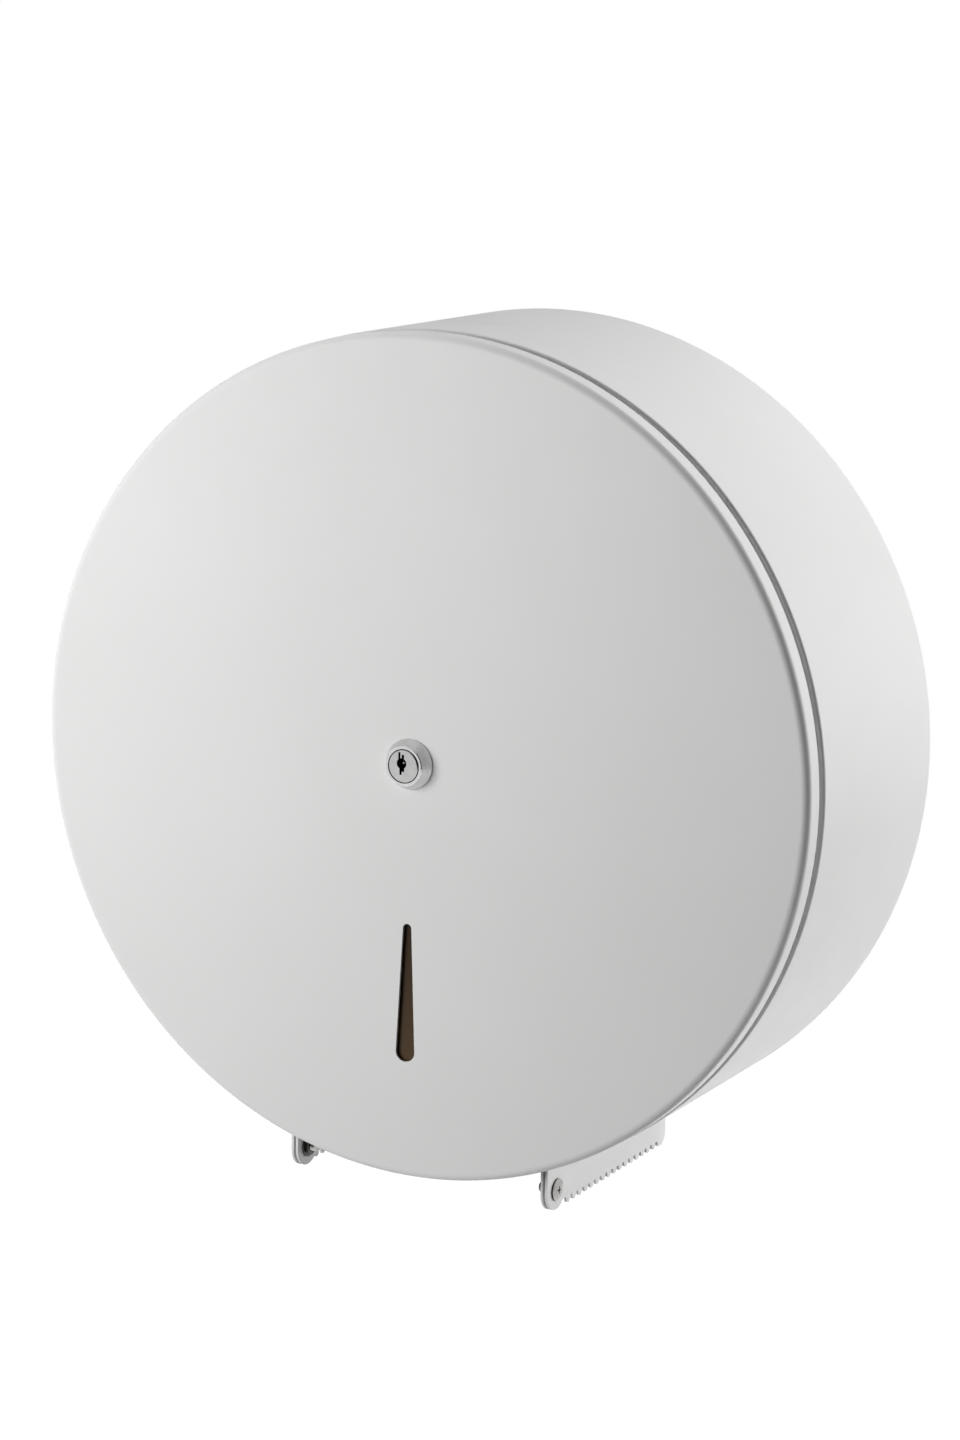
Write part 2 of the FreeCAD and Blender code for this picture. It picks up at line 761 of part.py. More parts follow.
def keyway_cutter():
    """The keyway: a round hole with two prongs above and a stepped one below."""
    bottom = plug_front - keyway_depth
    end = plug_front + overrun

    def prong(width, right, low, high):
        middle = keyway_right + right
        return block(middle - width / 2, middle + width / 2, bottom, end,
                     keyway_up + low, keyway_up + high)

    hole = round_bar(key_hole_radius, bottom, end, keyway_right, keyway_up)
    pin = round_bar(key_pin_radius, bottom - overrun, plug_front - key_pin_recess,
                    keyway_right, keyway_up)
    slots = joined(hole, prong(key_left_width, key_left_right, 0, key_left_top),
                   prong(key_middle_width, key_middle_right, 0, key_middle_top),
                   prong(key_lower_width, key_lower_right, -key_lower_bottom, 0),
                   prong(key_tip_width, key_tip_right, -key_tip_bottom, 0))
    return slots.cut(pin)


def build_lock_plug():
    """Turning plug with its keyway, its tail and the square that drives the cam."""
    plug = bevelled(round_bar(plug_radius, plug_rear, plug_front), plug_chamfer,
                    [(plug_radius, plug_front)])
    groove_rear = clip_front - clip_thickness - seat_play
    groove_front = clip_front + seat_play
    tail = round_bar(tail_radius, cam_front, plug_rear)
    half = tail_square / 2
    square = block(-half, half, cam_rear + seat_play, cam_front, -half, half)
    plug = joined(plug, tail, square)
    plug = plug.cut(round_tube(tail_radius + overrun, tail_radius - clip_groove_depth,
                               groove_rear, groove_front))
    plug = plug.cut(round_bar(cam_screw_radius + seat_play, cam_rear - overrun,
                              cam_rear + cam_screw_length + seat_play))
    return plug.cut(keyway_cutter())


def build_plug_clip():
    """Ring in the tail's groove that keeps the plug in the barrel."""
    bore = tail_radius - clip_groove_depth + seat_play
    return round_tube(clip_radius, bore, clip_front - clip_thickness, clip_front)


def build_lock_cam():
    """Flat bar on the plug's square: it passes the strike's slot and turns behind it."""
    half_length = cam_length / 2
    half_width = cam_width / 2
    cam = corners_along_axis(block(-half_length, half_length, cam_rear, cam_front,
                                   -half_width, half_width), cam_corner)
    half = tail_square / 2 + tail_square_play
    return cam.cut(block(-half, half, cam_rear - overrun, cam_front + overrun, -half, half))


def build_cam_washer():
    """Washer between the cam and its screw."""
    return round_tube(cam_washer_radius, cam_screw_radius + seat_play,
                      cam_rear - cam_washer_thickness, cam_rear)


def build_cam_screw():
    """Screw that holds the cam on the plug's tail."""
    seat = cam_rear - cam_washer_thickness
    top = seat - cam_head_height
    head = rounded(round_bar(cam_head_radius, top, seat), cam_head_round, [(cam_head_radius, top)])
    return joined(head, round_bar(cam_screw_radius, top, cam_rear + cam_screw_length))


def save(name, shape):
    """Writes one piece and prints its solids and volume."""
    solids = len(shape.Solids)
    print(name, "solids", solids, "volume", round(shape.Volume, 1), "valid", shape.isValid())
    shape.exportStep("parts/" + name + ".step")


def main():
    os.makedirs("parts", exist_ok=True)
    pieces = {
        "drum_shell": build_drum_shell(),
        "back_plate": build_back_plate(),
        "axle_base": build_axle_base(),
        "base_rivets": build_base_rivets(),
        "spindle_axle": build_spindle_axle(),
        "axle_insert": build_axle_insert(),
        "strike_cup": build_strike_cup(),
        "strike_screw": build_strike_screw(),
        "hub_washers": build_hub_washers(),
        "roll_hub": build_roll_hub(),
        "hub_bush_rear": build_hub_bush(hub_rear - bush_flange_thickness + bush_length,
                                        hub_rear - bush_flange_thickness),
        "hub_bush_front": build_hub_bush(hub_front + bush_flange_thickness - bush_length,
                                         hub_front + bush_flange_thickness),
        "tear_plate_left": build_tear_plate(-1),
        "tear_plate_right": build_tear_plate(1),
        "hinge_ear_left": build_hinge_ear(-1),
        "hinge_ear_right": build_hinge_ear(1),
        "hinge_screws": build_hinge_screws(),
        "hinge_nuts": build_hinge_nuts(),
        "hinge_washers": build_hinge_washers(),
        "front_cover": build_front_cover(),
        "window_tape": build_window_tape(),
        "sight_window": build_sight_window(),
        "lock_housing": build_lock_housing(),
        "lock_washer": build_lock_washer(),
        "lock_nut": build_lock_nut(),
        "lock_plug": build_lock_plug(),
        "plug_clip": build_plug_clip(),
        "lock_cam": build_lock_cam(),
        "cam_washer": build_cam_washer(),
        "cam_screw": build_cam_screw(),
    }
    for name, shape in pieces.items():
        save(name, shape)


main()
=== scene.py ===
# %% [markdown]
# # A round steel dispenser for jumbo toilet rolls
# The real object is made in a sheet-metal shop: a drum is rolled from steel sheet, a round cover
# is pressed, and two toothed plates are welded beside the gap where the paper hangs out. All of it
# gets one satin white powder coat. A small chrome lock holds the cover. This lesson builds the
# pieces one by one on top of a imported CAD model, which fixes every size, so nothing has to be
# fitted by eye.

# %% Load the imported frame
import json
import math

import bmesh
import bpy
from mathutils import Matrix, Vector


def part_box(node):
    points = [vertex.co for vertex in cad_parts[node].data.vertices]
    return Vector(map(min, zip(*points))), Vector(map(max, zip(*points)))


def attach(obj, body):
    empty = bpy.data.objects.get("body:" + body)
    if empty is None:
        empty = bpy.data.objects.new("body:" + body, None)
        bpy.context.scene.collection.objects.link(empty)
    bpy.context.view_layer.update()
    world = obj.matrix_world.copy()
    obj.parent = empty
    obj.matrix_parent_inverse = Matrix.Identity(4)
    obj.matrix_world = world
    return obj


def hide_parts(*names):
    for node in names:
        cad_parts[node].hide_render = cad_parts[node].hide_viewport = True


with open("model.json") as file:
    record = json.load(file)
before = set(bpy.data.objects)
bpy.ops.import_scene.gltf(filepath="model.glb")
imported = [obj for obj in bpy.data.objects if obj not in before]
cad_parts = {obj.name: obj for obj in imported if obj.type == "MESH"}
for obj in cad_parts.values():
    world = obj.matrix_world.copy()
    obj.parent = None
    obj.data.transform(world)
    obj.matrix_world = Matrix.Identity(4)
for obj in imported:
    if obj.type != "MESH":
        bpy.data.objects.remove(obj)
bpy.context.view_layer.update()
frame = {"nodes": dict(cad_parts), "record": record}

# %% [markdown]
# The workshop thinks in millimetres, and Blender in metres. Every piece is drawn here in
# millimetres and made a thousand times smaller when it is put in place. The casing's axis runs
# square to the wall, so two directions matter: how far a point is from that axis, and how far off
# the wall it is.

# %% Main sizes in millimetres
DRUM_RADIUS = 158.0
COVER_RADIUS = 157.6
NECK_RADIUS = 155.8
FACE = 118.0
COVER_EDGE = 108.6
NECK_FRONT = 113.5
SHOULDER = 104.8
SHEET = 1.0
METRES = Matrix.Scale(0.001, 4)


def size_in_mm(node):
    """How wide, deep and high a CAD node is."""
    low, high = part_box(node)
    return [round(side * 1000, 1) for side in high - low]


print("drum in the frame:", size_in_mm("drum_shell"), "drawn:", 2 * DRUM_RADIUS)
print("cover in the frame:", size_in_mm("front_cover"), "drawn:", 2 * COVER_RADIUS)

# %% [markdown]
# Shapes are drawn lying flat and then swung into place, as a part is turned on a lathe or cut on a
# bench before it is fitted. A turned part stands on the Y axis and has to point off the wall. A
# part that faces the viewer lies in the XY plane and is tipped up. A part that stands edge-on,
# such as a tear plate, has its X pointing off the wall. Three rotations cover all of them, and a
# fourth lays a flat drawing on the end of a part that is still on the lathe.

# %% Ways of placing a shape
STILL = Matrix.Identity(4)
OFF_THE_WALL = Matrix.Rotation(math.pi, 4, "X")
FACING = Matrix.Rotation(math.pi / 2, 4, "X")
EDGE_ON = Matrix.Rotation(-math.pi / 2, 4, "Z") @ Matrix.Rotation(math.pi / 2, 4, "X")
ON_LATHE = OFF_THE_WALL @ FACING
MIRRORED = Matrix.Scale(-1, 4, (1, 0, 0))


def moved(x, y, z):
    """A shift in millimetres."""
    return Matrix.Translation((x, y, z))


print("EDGE_ON sends X to", [round(part) for part in EDGE_ON @ Vector((1, 0, 0))],
      "and Y to", [round(part) for part in EDGE_ON @ Vector((0, 1, 0))])

# %% [markdown]
# A folded sheet never has a knife edge: each fold has a radius. The quickest way to draw such an
# outline is to lay straight edges between the corners and then bevel each corner vertex by its own
# radius. The bevel cuts back along both edges, so its offset is the radius times the tangent of
# half the turn.

# %% Outline with bent corners
def outline(bm, corners, closed=True, steps=8):
    """A flat wire through corners given as x, y and, where the corner is bent, its radius."""
    verts = [bm.verts.new((corner[0], corner[1], 0)) for corner in corners]
    for first, second in zip(verts, verts[1:]):
        bm.edges.new((first, second))
    if closed:
        bm.edges.new((verts[-1], verts[0]))
    places = [Vector(corner[:2]) for corner in corners]
    for index, corner in enumerate(corners):
        if len(corner) < 3:
            continue
        before = places[index] - places[index - 1]
        after = places[(index + 1) % len(places)] - places[index]
        offset = corner[2] * math.tan(before.angle(after) / 2)
        bmesh.ops.bevel(bm, geom=[verts[index]], offset=offset, offset_type="OFFSET",
                        segments=steps, profile=0.5, affect="VERTICES", material=-1)


trial = bmesh.new()
outline(trial, [(0, 0), (10, 0, 2.0), (10, 10)], closed=False)
print("a bend of 2 mm has", len(trial.edges) - 2, "short edges")
trial.free()

# %% [markdown]
# Round ends and teeth are easier with a pen. Extruding a single vertex draws a straight line, and
# spinning a single vertex about a centre draws an arc, so the operators do the geometry. Points
# that land less than a thousandth of a millimetre apart are merged.

# %% Pen for lines and arcs
TOUCHING = 0.001


class Pen:
    """Draws a wire in the XY plane from a starting point."""

    def __init__(self, bm, x, y):
        self.bm = bm
        self.first = self.tip = bm.verts.new((x, y, 0))

    def line(self, x, y):
        self.tip = bmesh.ops.extrude_vert_indiv(self.bm, verts=[self.tip])["verts"][0]
        self.tip.co = (x, y, 0)

    def arc(self, x, y, degrees, steps):
        spun = bmesh.ops.spin(self.bm, geom=[self.tip], cent=(x, y, 0), axis=(0, 0, 1),
                              dvec=(0, 0, 0), angle=math.radians(degrees), steps=steps)
        self.tip = next(item for item in spun["geom_last"] if isinstance(item, bmesh.types.BMVert))

    def close(self):
        if (self.tip.co - self.first.co).length > TOUCHING:
            self.bm.edges.new((self.tip, self.first))
        bmesh.ops.remove_doubles(self.bm, verts=self.bm.verts[:], dist=TOUCHING)


trial = bmesh.new()
pen = Pen(trial, 1, 0)
pen.arc(0, 0, 360, 24)
pen.close()
print("a circle drawn with the pen has", len(trial.verts), "points")
trial.free()

# %% [markdown]
# Three more bench jobs come back again and again: turning a profile on the lathe, filling a flat
# outline with its holes, and easing cut edges, which the powder rounds over. The spin's seam is
# merged and the normals are set before a wall gets its thickness. Blender's fill can drop a piece
# where many points share one coordinate, so a drawing is turned askew for it and then back.

# %% Lathe, fill, thickness and eased edges
ASKEW = 0.3
CUT_ANGLE = math.radians(50)


def turn(bm, steps):
    """Spins the wire once round the Y axis, closes the seam and points the faces outwards."""
    bmesh.ops.spin(bm, geom=bm.verts[:] + bm.edges[:], cent=(0, 0, 0), axis=(0, 1, 0),
                   dvec=(0, 0, 0), angle=2 * math.pi, steps=steps, use_merge=True)
    bmesh.ops.remove_doubles(bm, verts=bm.verts[:], dist=TOUCHING)
    bmesh.ops.recalc_face_normals(bm, faces=bm.faces[:])


def fill(bm, edges, normal=(0, 0, 1)):
    """Fills flat loops with faces and leaves the inner loops as holes."""
    askew = Matrix.Rotation(ASKEW, 4, Vector(normal))
    bmesh.ops.transform(bm, matrix=askew, verts=bm.verts[:])
    bmesh.ops.triangle_fill(bm, use_beauty=True, use_dissolve=False, edges=edges, normal=normal)
    bmesh.ops.transform(bm, matrix=askew.inverted(), verts=bm.verts[:])


def point_away(bm, inside):
    """Turns an open skin's faces away from a point inside it."""
    bmesh.ops.recalc_face_normals(bm, faces=bm.faces[:])
    lean = sum(face.normal.dot(face.calc_center_median() - Vector(inside)) for face in bm.faces)
    if lean < 0:
        bmesh.ops.reverse_faces(bm, faces=bm.faces[:])


def thicken(bm, thickness):
    """Gives all faces a wall behind them."""
    bmesh.ops.solidify(bm, geom=bm.faces[:], thickness=thickness)
    bmesh.ops.recalc_face_normals(bm, faces=bm.faces[:])


def ease(bm, size):
    """Rounds each edge where the sheet was cut, and leaves the bends as they are."""
    edges = [edge for edge in bm.edges
             if edge.is_manifold and edge.calc_face_angle() > CUT_ANGLE]
    bmesh.ops.bevel(bm, geom=edges, offset=size, offset_type="OFFSET", segments=2,
                    profile=0.5, affect="EDGES", material=-1, clamp_overlap=True)


def cut_plate(thickness, eased, draw):
    """A flat plate: draw lays its outlines in the XY plane, and the wall goes to the -Z side."""
    bm = bmesh.new()
    draw(bm)
    fill(bm, bm.edges[:])
    thicken(bm, thickness)
    ease(bm, eased)
    return bm


trial = cut_plate(1.0, 0.1, lambda bm: outline(bm, [(0, 0), (8, 0), (8, 5), (0, 5)]))
print("a bench test plate of 40 cubic mm measures", round(trial.calc_volume(), 1))
trial.free()

# %% [markdown]
# A piece may be built from several shapes. Each shape is moved to its place and added to the
# piece's mesh. The finished piece rides on a body's empty, hides the CAD nodes that it replaces,
# and takes the finish named after one of the record's slots. Some of its faces may be marked first,
# and they get a second finish, as the lock's bores do, whose near-black finish is painted shade.

# %% Put a piece together and hand it over
SHARP = math.radians(38)
finishes = {}


def add(target, shape, place=STILL):
    """Puts a shape into a piece at its place."""
    bmesh.ops.transform(shape, matrix=place, verts=shape.verts[:])
    scratch = bpy.data.meshes.new("scratch")
    shape.to_mesh(scratch)
    shape.free()
    target.from_mesh(scratch)
    bpy.data.meshes.remove(scratch)


def mark_ring(bm, reach, start, end):
    """Marks a turned shape's faces for the second finish, by where they are about the axis."""
    for face in bm.faces:
        middle = face.calc_center_median()
        if reach[0] < math.hypot(middle.x, middle.z) < reach[1] and start < middle.y < end:
            face.material_index = 1


def hand_over(name, bm, body, nodes, slot, place=STILL, second=None):
    """Makes the piece's object, hangs it on its body's empty and hides the CAD nodes that it stands
    in for.
    """
    bmesh.ops.transform(bm, matrix=METRES @ place, verts=bm.verts[:])
    bmesh.ops.recalc_face_normals(bm, faces=bm.faces[:])
    open_edges = sum(not edge.is_manifold for edge in bm.edges)
    triangles = sum(len(face.verts) - 2 for face in bm.faces)
    for face in bm.faces:
        face.smooth = True
    for edge in bm.edges:
        if edge.is_manifold:
            edge.smooth = edge.calc_face_angle() < SHARP
    mesh = bpy.data.meshes.new(name)
    bm.to_mesh(mesh)
    bm.free()
    mesh.materials.append(finishes[slot])
    if second:
        mesh.materials.append(finishes[second])
    piece = bpy.data.objects.new(name, mesh)
    bpy.context.scene.collection.objects.link(piece)
    weighted = piece.modifiers.new("flat_faces_first", "WEIGHTED_NORMAL")
    weighted.keep_sharp = True
    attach(piece, body)
    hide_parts(*nodes)
    print(name, "triangles", triangles, "open edges", open_edges)


# %% [markdown]
# ## Finishes
# All finishes share one recipe: a Principled shader whose roughness and height come from noise on
# Object coordinates, so the grain stays on the metal when a piece moves. What differs is the scale
# of the noise. Powder paint melts into a fine orange peel about a millimetre across, over a wave
# of a few centimetres that rolled sheet keeps.

# %% Noise layers for a finish
NOISE_SPAN = (0.3, 0.7)
MICRON = 0.000001


def new_finish(slot):
    """A material with its Principled shader."""
    material = bpy.data.materials.new(slot)
    material.use_nodes = True
    finishes[slot] = material
    return material.node_tree, material.node_tree.nodes["Principled BSDF"]


def noise(tree, scale, detail):
    """Noise on Object coordinates; the scale counts features to the metre."""
    coordinates = tree.nodes.new("ShaderNodeTexCoord")
    texture = tree.nodes.new("ShaderNodeTexNoise")
    texture.inputs["Scale"].default_value = scale
    texture.inputs["Detail"].default_value = detail
    tree.links.new(coordinates.outputs["Object"], texture.inputs["Vector"])
    return texture.outputs[0]


def spread(tree, value, ends, socket):
    """Lets a noise move a shader value between two ends."""
    ramp = tree.nodes.new("ShaderNodeMapRange")
    for name, end in zip(("From Min", "From Max", "To Min", "To Max"), (*NOISE_SPAN, *ends)):
        ramp.inputs[name].default_value = end
    tree.links.new(value, ramp.inputs["Value"])
    tree.links.new(ramp.outputs["Result"], socket)


def tint(tree, value, shades, socket):
    """Lets a noise move a colour between two shades."""
    ramp = tree.nodes.new("ShaderNodeValToRGB")
    for index in (0, 1):
        ramp.color_ramp.elements[index].position = NOISE_SPAN[index]
        ramp.color_ramp.elements[index].color = (*shades[index], 1)
    tree.links.new(value, ramp.inputs["Fac"])
    tree.links.new(ramp.outputs["Color"], socket)


def relief(tree, shader, layers):
    """Stacks bumps; a layer is a height and how deep it is in metres."""
    below = None
    for value, depth in layers:
        bump = tree.nodes.new("ShaderNodeBump")
        bump.inputs["Strength"].default_value = 1.0
        bump.inputs["Distance"].default_value = depth
        tree.links.new(value, bump.inputs["Height"])
        if below:
            tree.links.new(below, bump.inputs["Normal"])
        below = bump.outputs["Normal"]
    tree.links.new(below, shader.inputs["Normal"])


print("noise, spread, tint and relief are ready")

# %% [markdown]
# The white coat: nearly neutral and a little less than half dull, with the peel and the sheet's
# wave. A wave or a peel is given by how many there are to the metre and by its depth.

# %% Satin white powder coat
COAT_SHADES = ((0.775, 0.775, 0.770), (0.800, 0.800, 0.796))
COAT_ROUGHNESS = (0.36, 0.46)
COAT_IOR = 1.5
SHEET_WAVE, WAVE_DEPTH = 14, 120 * MICRON
PEEL, PEEL_DEPTH = 900, 12 * MICRON

tree, shader = new_finish("satin_white_coat")
shader.inputs["IOR"].default_value = COAT_IOR
tint(tree, noise(tree, 9, 3), COAT_SHADES, shader.inputs["Base Color"])
spread(tree, noise(tree, 60, 4), COAT_ROUGHNESS, shader.inputs["Roughness"])
relief(tree, shader, [(noise(tree, SHEET_WAVE, 1), WAVE_DEPTH), (noise(tree, PEEL, 2), PEEL_DEPTH)])
print("coat nodes:", len(tree.nodes))

# %% [markdown]
# Bare metals differ in how they were worked. Zinc on sheet has a cloudy bloom. Fasteners are
# tumbled, so they are even but lightly dinged. The lock's narrow bores get a near-black metal,
# which is painted shade for these deep hollows. A metal is given by its two shades, its range of
# roughness, the features of its grain to the metre, and the grain's depth in microns.

# %% Plated and polished metals
def metal(slot, shades, roughness, grain, microns):
    """A metal with a clouded colour, uneven roughness and a shallow grain."""
    tree, shader = new_finish(slot)
    shader.inputs["Metallic"].default_value = 1.0
    tint(tree, noise(tree, grain / 8, 3), shades, shader.inputs["Base Color"])
    spread(tree, noise(tree, grain, 4), roughness, shader.inputs["Roughness"])
    relief(tree, shader, [(noise(tree, grain * 2, 3), microns * MICRON)])


metal("zinc_steel", ((0.50, 0.51, 0.53), (0.64, 0.65, 0.66)), (0.30, 0.48), 160, 20)
metal("plated_steel", ((0.60, 0.58, 0.52), (0.70, 0.69, 0.65)), (0.24, 0.38), 420, 10)
metal("stainless_screw", ((0.32, 0.31, 0.30), (0.44, 0.43, 0.41)), (0.12, 0.22), 700, 6)
metal("black_steel", ((0.045, 0.044, 0.042), (0.085, 0.083, 0.080)), (0.30, 0.45), 600, 8)
# Painted shade: a near-black metal for the lock's narrow bores, the keyway and the gap round the
# plug.
metal("bore_painted_shade", ((0.035, 0.033, 0.030), (0.070, 0.066, 0.060)), (0.45, 0.65), 900, 10)
print("metals:", sorted(finishes))

# %% [markdown]
# The lock is plated over a turned body: the cone keeps very fine rings round the axis, which a
# wave texture of rings gives. Blender's wave turns 20 radians to the unit, so its scale is worked
# out from the spacing of the rings.

# %% Turned and plated metals
WAVE_TURNS = 20


def turning_marks(tree, spacing):
    """Fine rings about the casing's axis, as a lathe tool leaves; spacing in metres."""
    coordinates = tree.nodes.new("ShaderNodeTexCoord")
    wave = tree.nodes.new("ShaderNodeTexWave")
    wave.wave_type = "RINGS"
    wave.rings_direction = "Y"
    wave.inputs["Scale"].default_value = 2 * math.pi / (WAVE_TURNS * spacing)
    wave.inputs["Distortion"].default_value = 0.4
    wave.inputs["Detail"].default_value = 2.0
    tree.links.new(coordinates.outputs["Object"], wave.inputs["Vector"])
    return wave.outputs[1]


def lathe_metal(slot, shades, roughness, spacing, microns):
    """A turned and plated metal; the rings' spacing and depth are in microns."""
    tree, shader = new_finish(slot)
    shader.inputs["Metallic"].default_value = 1.0
    tint(tree, noise(tree, 300, 3), shades, shader.inputs["Base Color"])
    spread(tree, noise(tree, 900, 3), roughness, shader.inputs["Roughness"])
    relief(tree, shader, [(turning_marks(tree, spacing * MICRON), microns * MICRON)])


lathe_metal("lock_chrome", ((0.60, 0.60, 0.60), (0.70, 0.70, 0.70)), (0.18, 0.28), 250, 2)
lathe_metal("lock_satin_chrome", ((0.50, 0.50, 0.495), (0.58, 0.58, 0.575)), (0.26, 0.36), 300, 3)
print("turned metals:", [name for name in finishes if name.startswith("lock")])

# %% [markdown]
# The foam tape round the window is dull and open-pored. The hub is moulded grey plastic with a
# spark-eroded grain, and its bushes are plain nylon.

# %% Plastics and foam
def plastic(slot, shades, roughness, grain, microns):
    """A moulded plastic with an even tone and a fine grain."""
    tree, shader = new_finish(slot)
    tint(tree, noise(tree, grain / 20, 2), shades, shader.inputs["Base Color"])
    spread(tree, noise(tree, grain / 4, 3), roughness, shader.inputs["Roughness"])
    relief(tree, shader, [(noise(tree, grain, 3), microns * MICRON)])
    return tree, shader


plastic("foam_tape", ((0.020, 0.020, 0.020), (0.045, 0.045, 0.045)), (0.85, 0.95), 2200, 120)
plastic("grey_plastic", ((0.17, 0.175, 0.18), (0.21, 0.215, 0.22)), (0.42, 0.55), 1800, 20)
plastic("pale_nylon", ((0.62, 0.60, 0.54), (0.70, 0.68, 0.62)), (0.35, 0.50), 800, 10)
print("plastics:", [name for name in finishes if "plastic" in name or "nylon" in name])

# %% [markdown]
# The window strip is smoked acrylic: brown, glossy and only a little clear. Its colour is painted
# darker towards its top and lighter towards its foot: painted light, for the light that comes in
# from the outlet. A clear material would need the light of the whole inside of the drum, so this
# painted light is blended in by height, and the strip is left opaque. The Mix node has a set of
# sockets for each kind of data, and its colours are reached by number.

# %% Smoked window
WINDOW_SHADES = ((0.022, 0.010, 0.003), (0.032, 0.014, 0.004))
# Painted light: between these heights the colour turns from the dark top to the lighter foot, for
# the light from the outlet.
WINDOW_PAINTED_LIGHT_ENDS = (-0.113, -0.064)
WINDOW_PAINTED_LIGHT = (0.073, 0.044, 0.020)
ACRYLIC_IOR = 1.49
WINDOW_GLOSS = 0.2
MIX_FACTOR, MIX_LOWER, MIX_UPPER, MIX_RESULT = 0, 6, 7, 2

tree, shader = plastic("smoked_brown", WINDOW_SHADES, (0.22, 0.34), 500, 4)
shader.inputs["IOR"].default_value = ACRYLIC_IOR
shader.inputs["Specular IOR Level"].default_value = WINDOW_GLOSS
where = tree.nodes.new("ShaderNodeTexCoord")
parts = tree.nodes.new("ShaderNodeSeparateXYZ")
tree.links.new(where.outputs["Object"], parts.inputs["Vector"])
# The painted light's mask: the strip's height, from foot to top.
height = tree.nodes.new("ShaderNodeMapRange")
height.inputs["From Min"].default_value, height.inputs["From Max"].default_value = WINDOW_PAINTED_LIGHT_ENDS
tree.links.new(parts.outputs["Z"], height.inputs["Value"])
painted_light_blend = tree.nodes.new("ShaderNodeMix")
painted_light_blend.data_type = "RGBA"
painted_light_blend.inputs[MIX_LOWER].default_value = (*WINDOW_PAINTED_LIGHT, 1)
tree.links.new(height.outputs["Result"], painted_light_blend.inputs[MIX_FACTOR])
darker = shader.inputs["Base Color"].links[0].from_socket
tree.links.new(darker, painted_light_blend.inputs[MIX_UPPER])
tree.links.new(painted_light_blend.outputs[MIX_RESULT], shader.inputs["Base Color"])
print("finishes made:", len(finishes))

# %% [markdown]
# Every CAD node that stays gets the finish of its own slot from the record. The pieces that are
# built below replace the larger nodes.

# %% Dress the CAD nodes
slot_of = {part["node"]: part["material_slot"] for part in frame["record"]["subparts"]}
for name, node in frame["nodes"].items():
    node.data.materials.clear()
    node.data.materials.append(finishes[slot_of[name]])
print("nodes dressed:", len(slot_of))

# %% [markdown]
# ## Front cover
# The real cover is pressed: a flat disc whose rim is drawn over in a tight bend. It could be a
# cylinder with its far end deleted, but the bend is what catches the light, so its section is
# drawn and turned. A narrow flat strip after the bend keeps its shading off the face. The flat
# middle is left open at first, because a lathe can't make the sight slot. It is then filled round
# the slot and the lock's hole, and the whole skin gets the sheet's thickness.

# %% Section of the cover's rim
BEND = 3.0
BEND_STEPS = 12
FLAT_STRIP = 0.3
RIM_INSIDE = 150.0
ROUND = 288

cover = bmesh.new()
outline(cover, [(COVER_RADIUS, COVER_EDGE), (COVER_RADIUS, FACE, BEND),
                (COVER_RADIUS - BEND - FLAT_STRIP, FACE), (RIM_INSIDE, FACE)],
        closed=False, steps=BEND_STEPS)
turn(cover, ROUND)
print("rim faces:", len(cover.faces))

# %% [markdown]
# The sight slot shows how much paper is left. It tapers from 3.4 mm at the top to 7.7 mm at the
# bottom. Its sides touch both round ends, and they lean by the angle whose sine is the difference
# of the radii over the distance of the centres. Each end is given by how far it is below the lock
# and by its radius.

# %% Sight slot and lock hole, then the flat face
SLOT_TOP = (-62.0, 1.7)
SLOT_BOTTOM = (-109.15, 3.85)
SLOT_STEPS = (20, 32)
LOCK_HOLE = 8.1


def draw_slot(bm):
    """The slot's outline, from the right side round over the top."""
    (top, top_radius), (bottom, bottom_radius) = SLOT_TOP, SLOT_BOTTOM
    lean = math.asin((bottom_radius - top_radius) / (top - bottom))
    across, along = math.cos(lean), math.sin(lean)
    pen = Pen(bm, top_radius * across, top + top_radius * along)
    pen.arc(0, top, 180 - 2 * math.degrees(lean), SLOT_STEPS[0])
    pen.line(-bottom_radius * across, bottom + bottom_radius * along)
    pen.arc(0, bottom, 180 + 2 * math.degrees(lean), SLOT_STEPS[1])
    pen.close()


holes = bmesh.new()
draw_slot(holes)
bmesh.ops.create_circle(holes, cap_ends=False, segments=64, radius=LOCK_HOLE)
add(cover, holes, moved(0, FACE, 0) @ ON_LATHE)
loops = [edge for edge in cover.edges
         if not edge.link_faces or (edge.is_boundary and edge.verts[0].co.y > FACE - TOUCHING)]
fill(cover, loops, normal=(0, 1, 0))
point_away(cover, (0, 0, 0))
print("face filled round its holes:", len(cover.faces), "faces")

# %% [markdown]
# The skin gets its 1 mm wall on the inner side, and the cut edges are eased. Paint builds up and
# rounds them, so each of them shows as a thin bright line.

# %% Cover's wall
COATED_EDGE = 0.2

thicken(cover, SHEET)
ease(cover, COATED_EDGE)
hand_over("cover_pan", cover, "cover", ["front_cover"], "satin_white_coat", OFF_THE_WALL)

# %% [markdown]
# ## Drum
# The drum is a band of sheet. Its rear edge is folded in, and at the front a shoulder steps in to
# a neck that the cover laps over. The step leaves the narrow dark groove that runs round the
# object. The section is one open line, turned, and it has an extra point where the outlet begins.

# %% Section of the drum
FLANGE_INSIDE = 149.0
REAR_BEND = 2.5
SHOULDER_BEND = 1.3
NECK_BEND = 0.4
OUTLET_REAR = 5.0

drum = bmesh.new()
outline(drum, [(FLANGE_INSIDE, 0), (DRUM_RADIUS, 0, REAR_BEND), (DRUM_RADIUS, OUTLET_REAR),
               (DRUM_RADIUS, SHOULDER, SHOULDER_BEND), (NECK_RADIUS, SHOULDER, NECK_BEND),
               (NECK_RADIUS, NECK_FRONT)], closed=False)
turn(drum, ROUND)
bmesh.ops.transform(drum, matrix=OFF_THE_WALL, verts=drum.verts[:])
print("drum skin faces:", len(drum.faces))

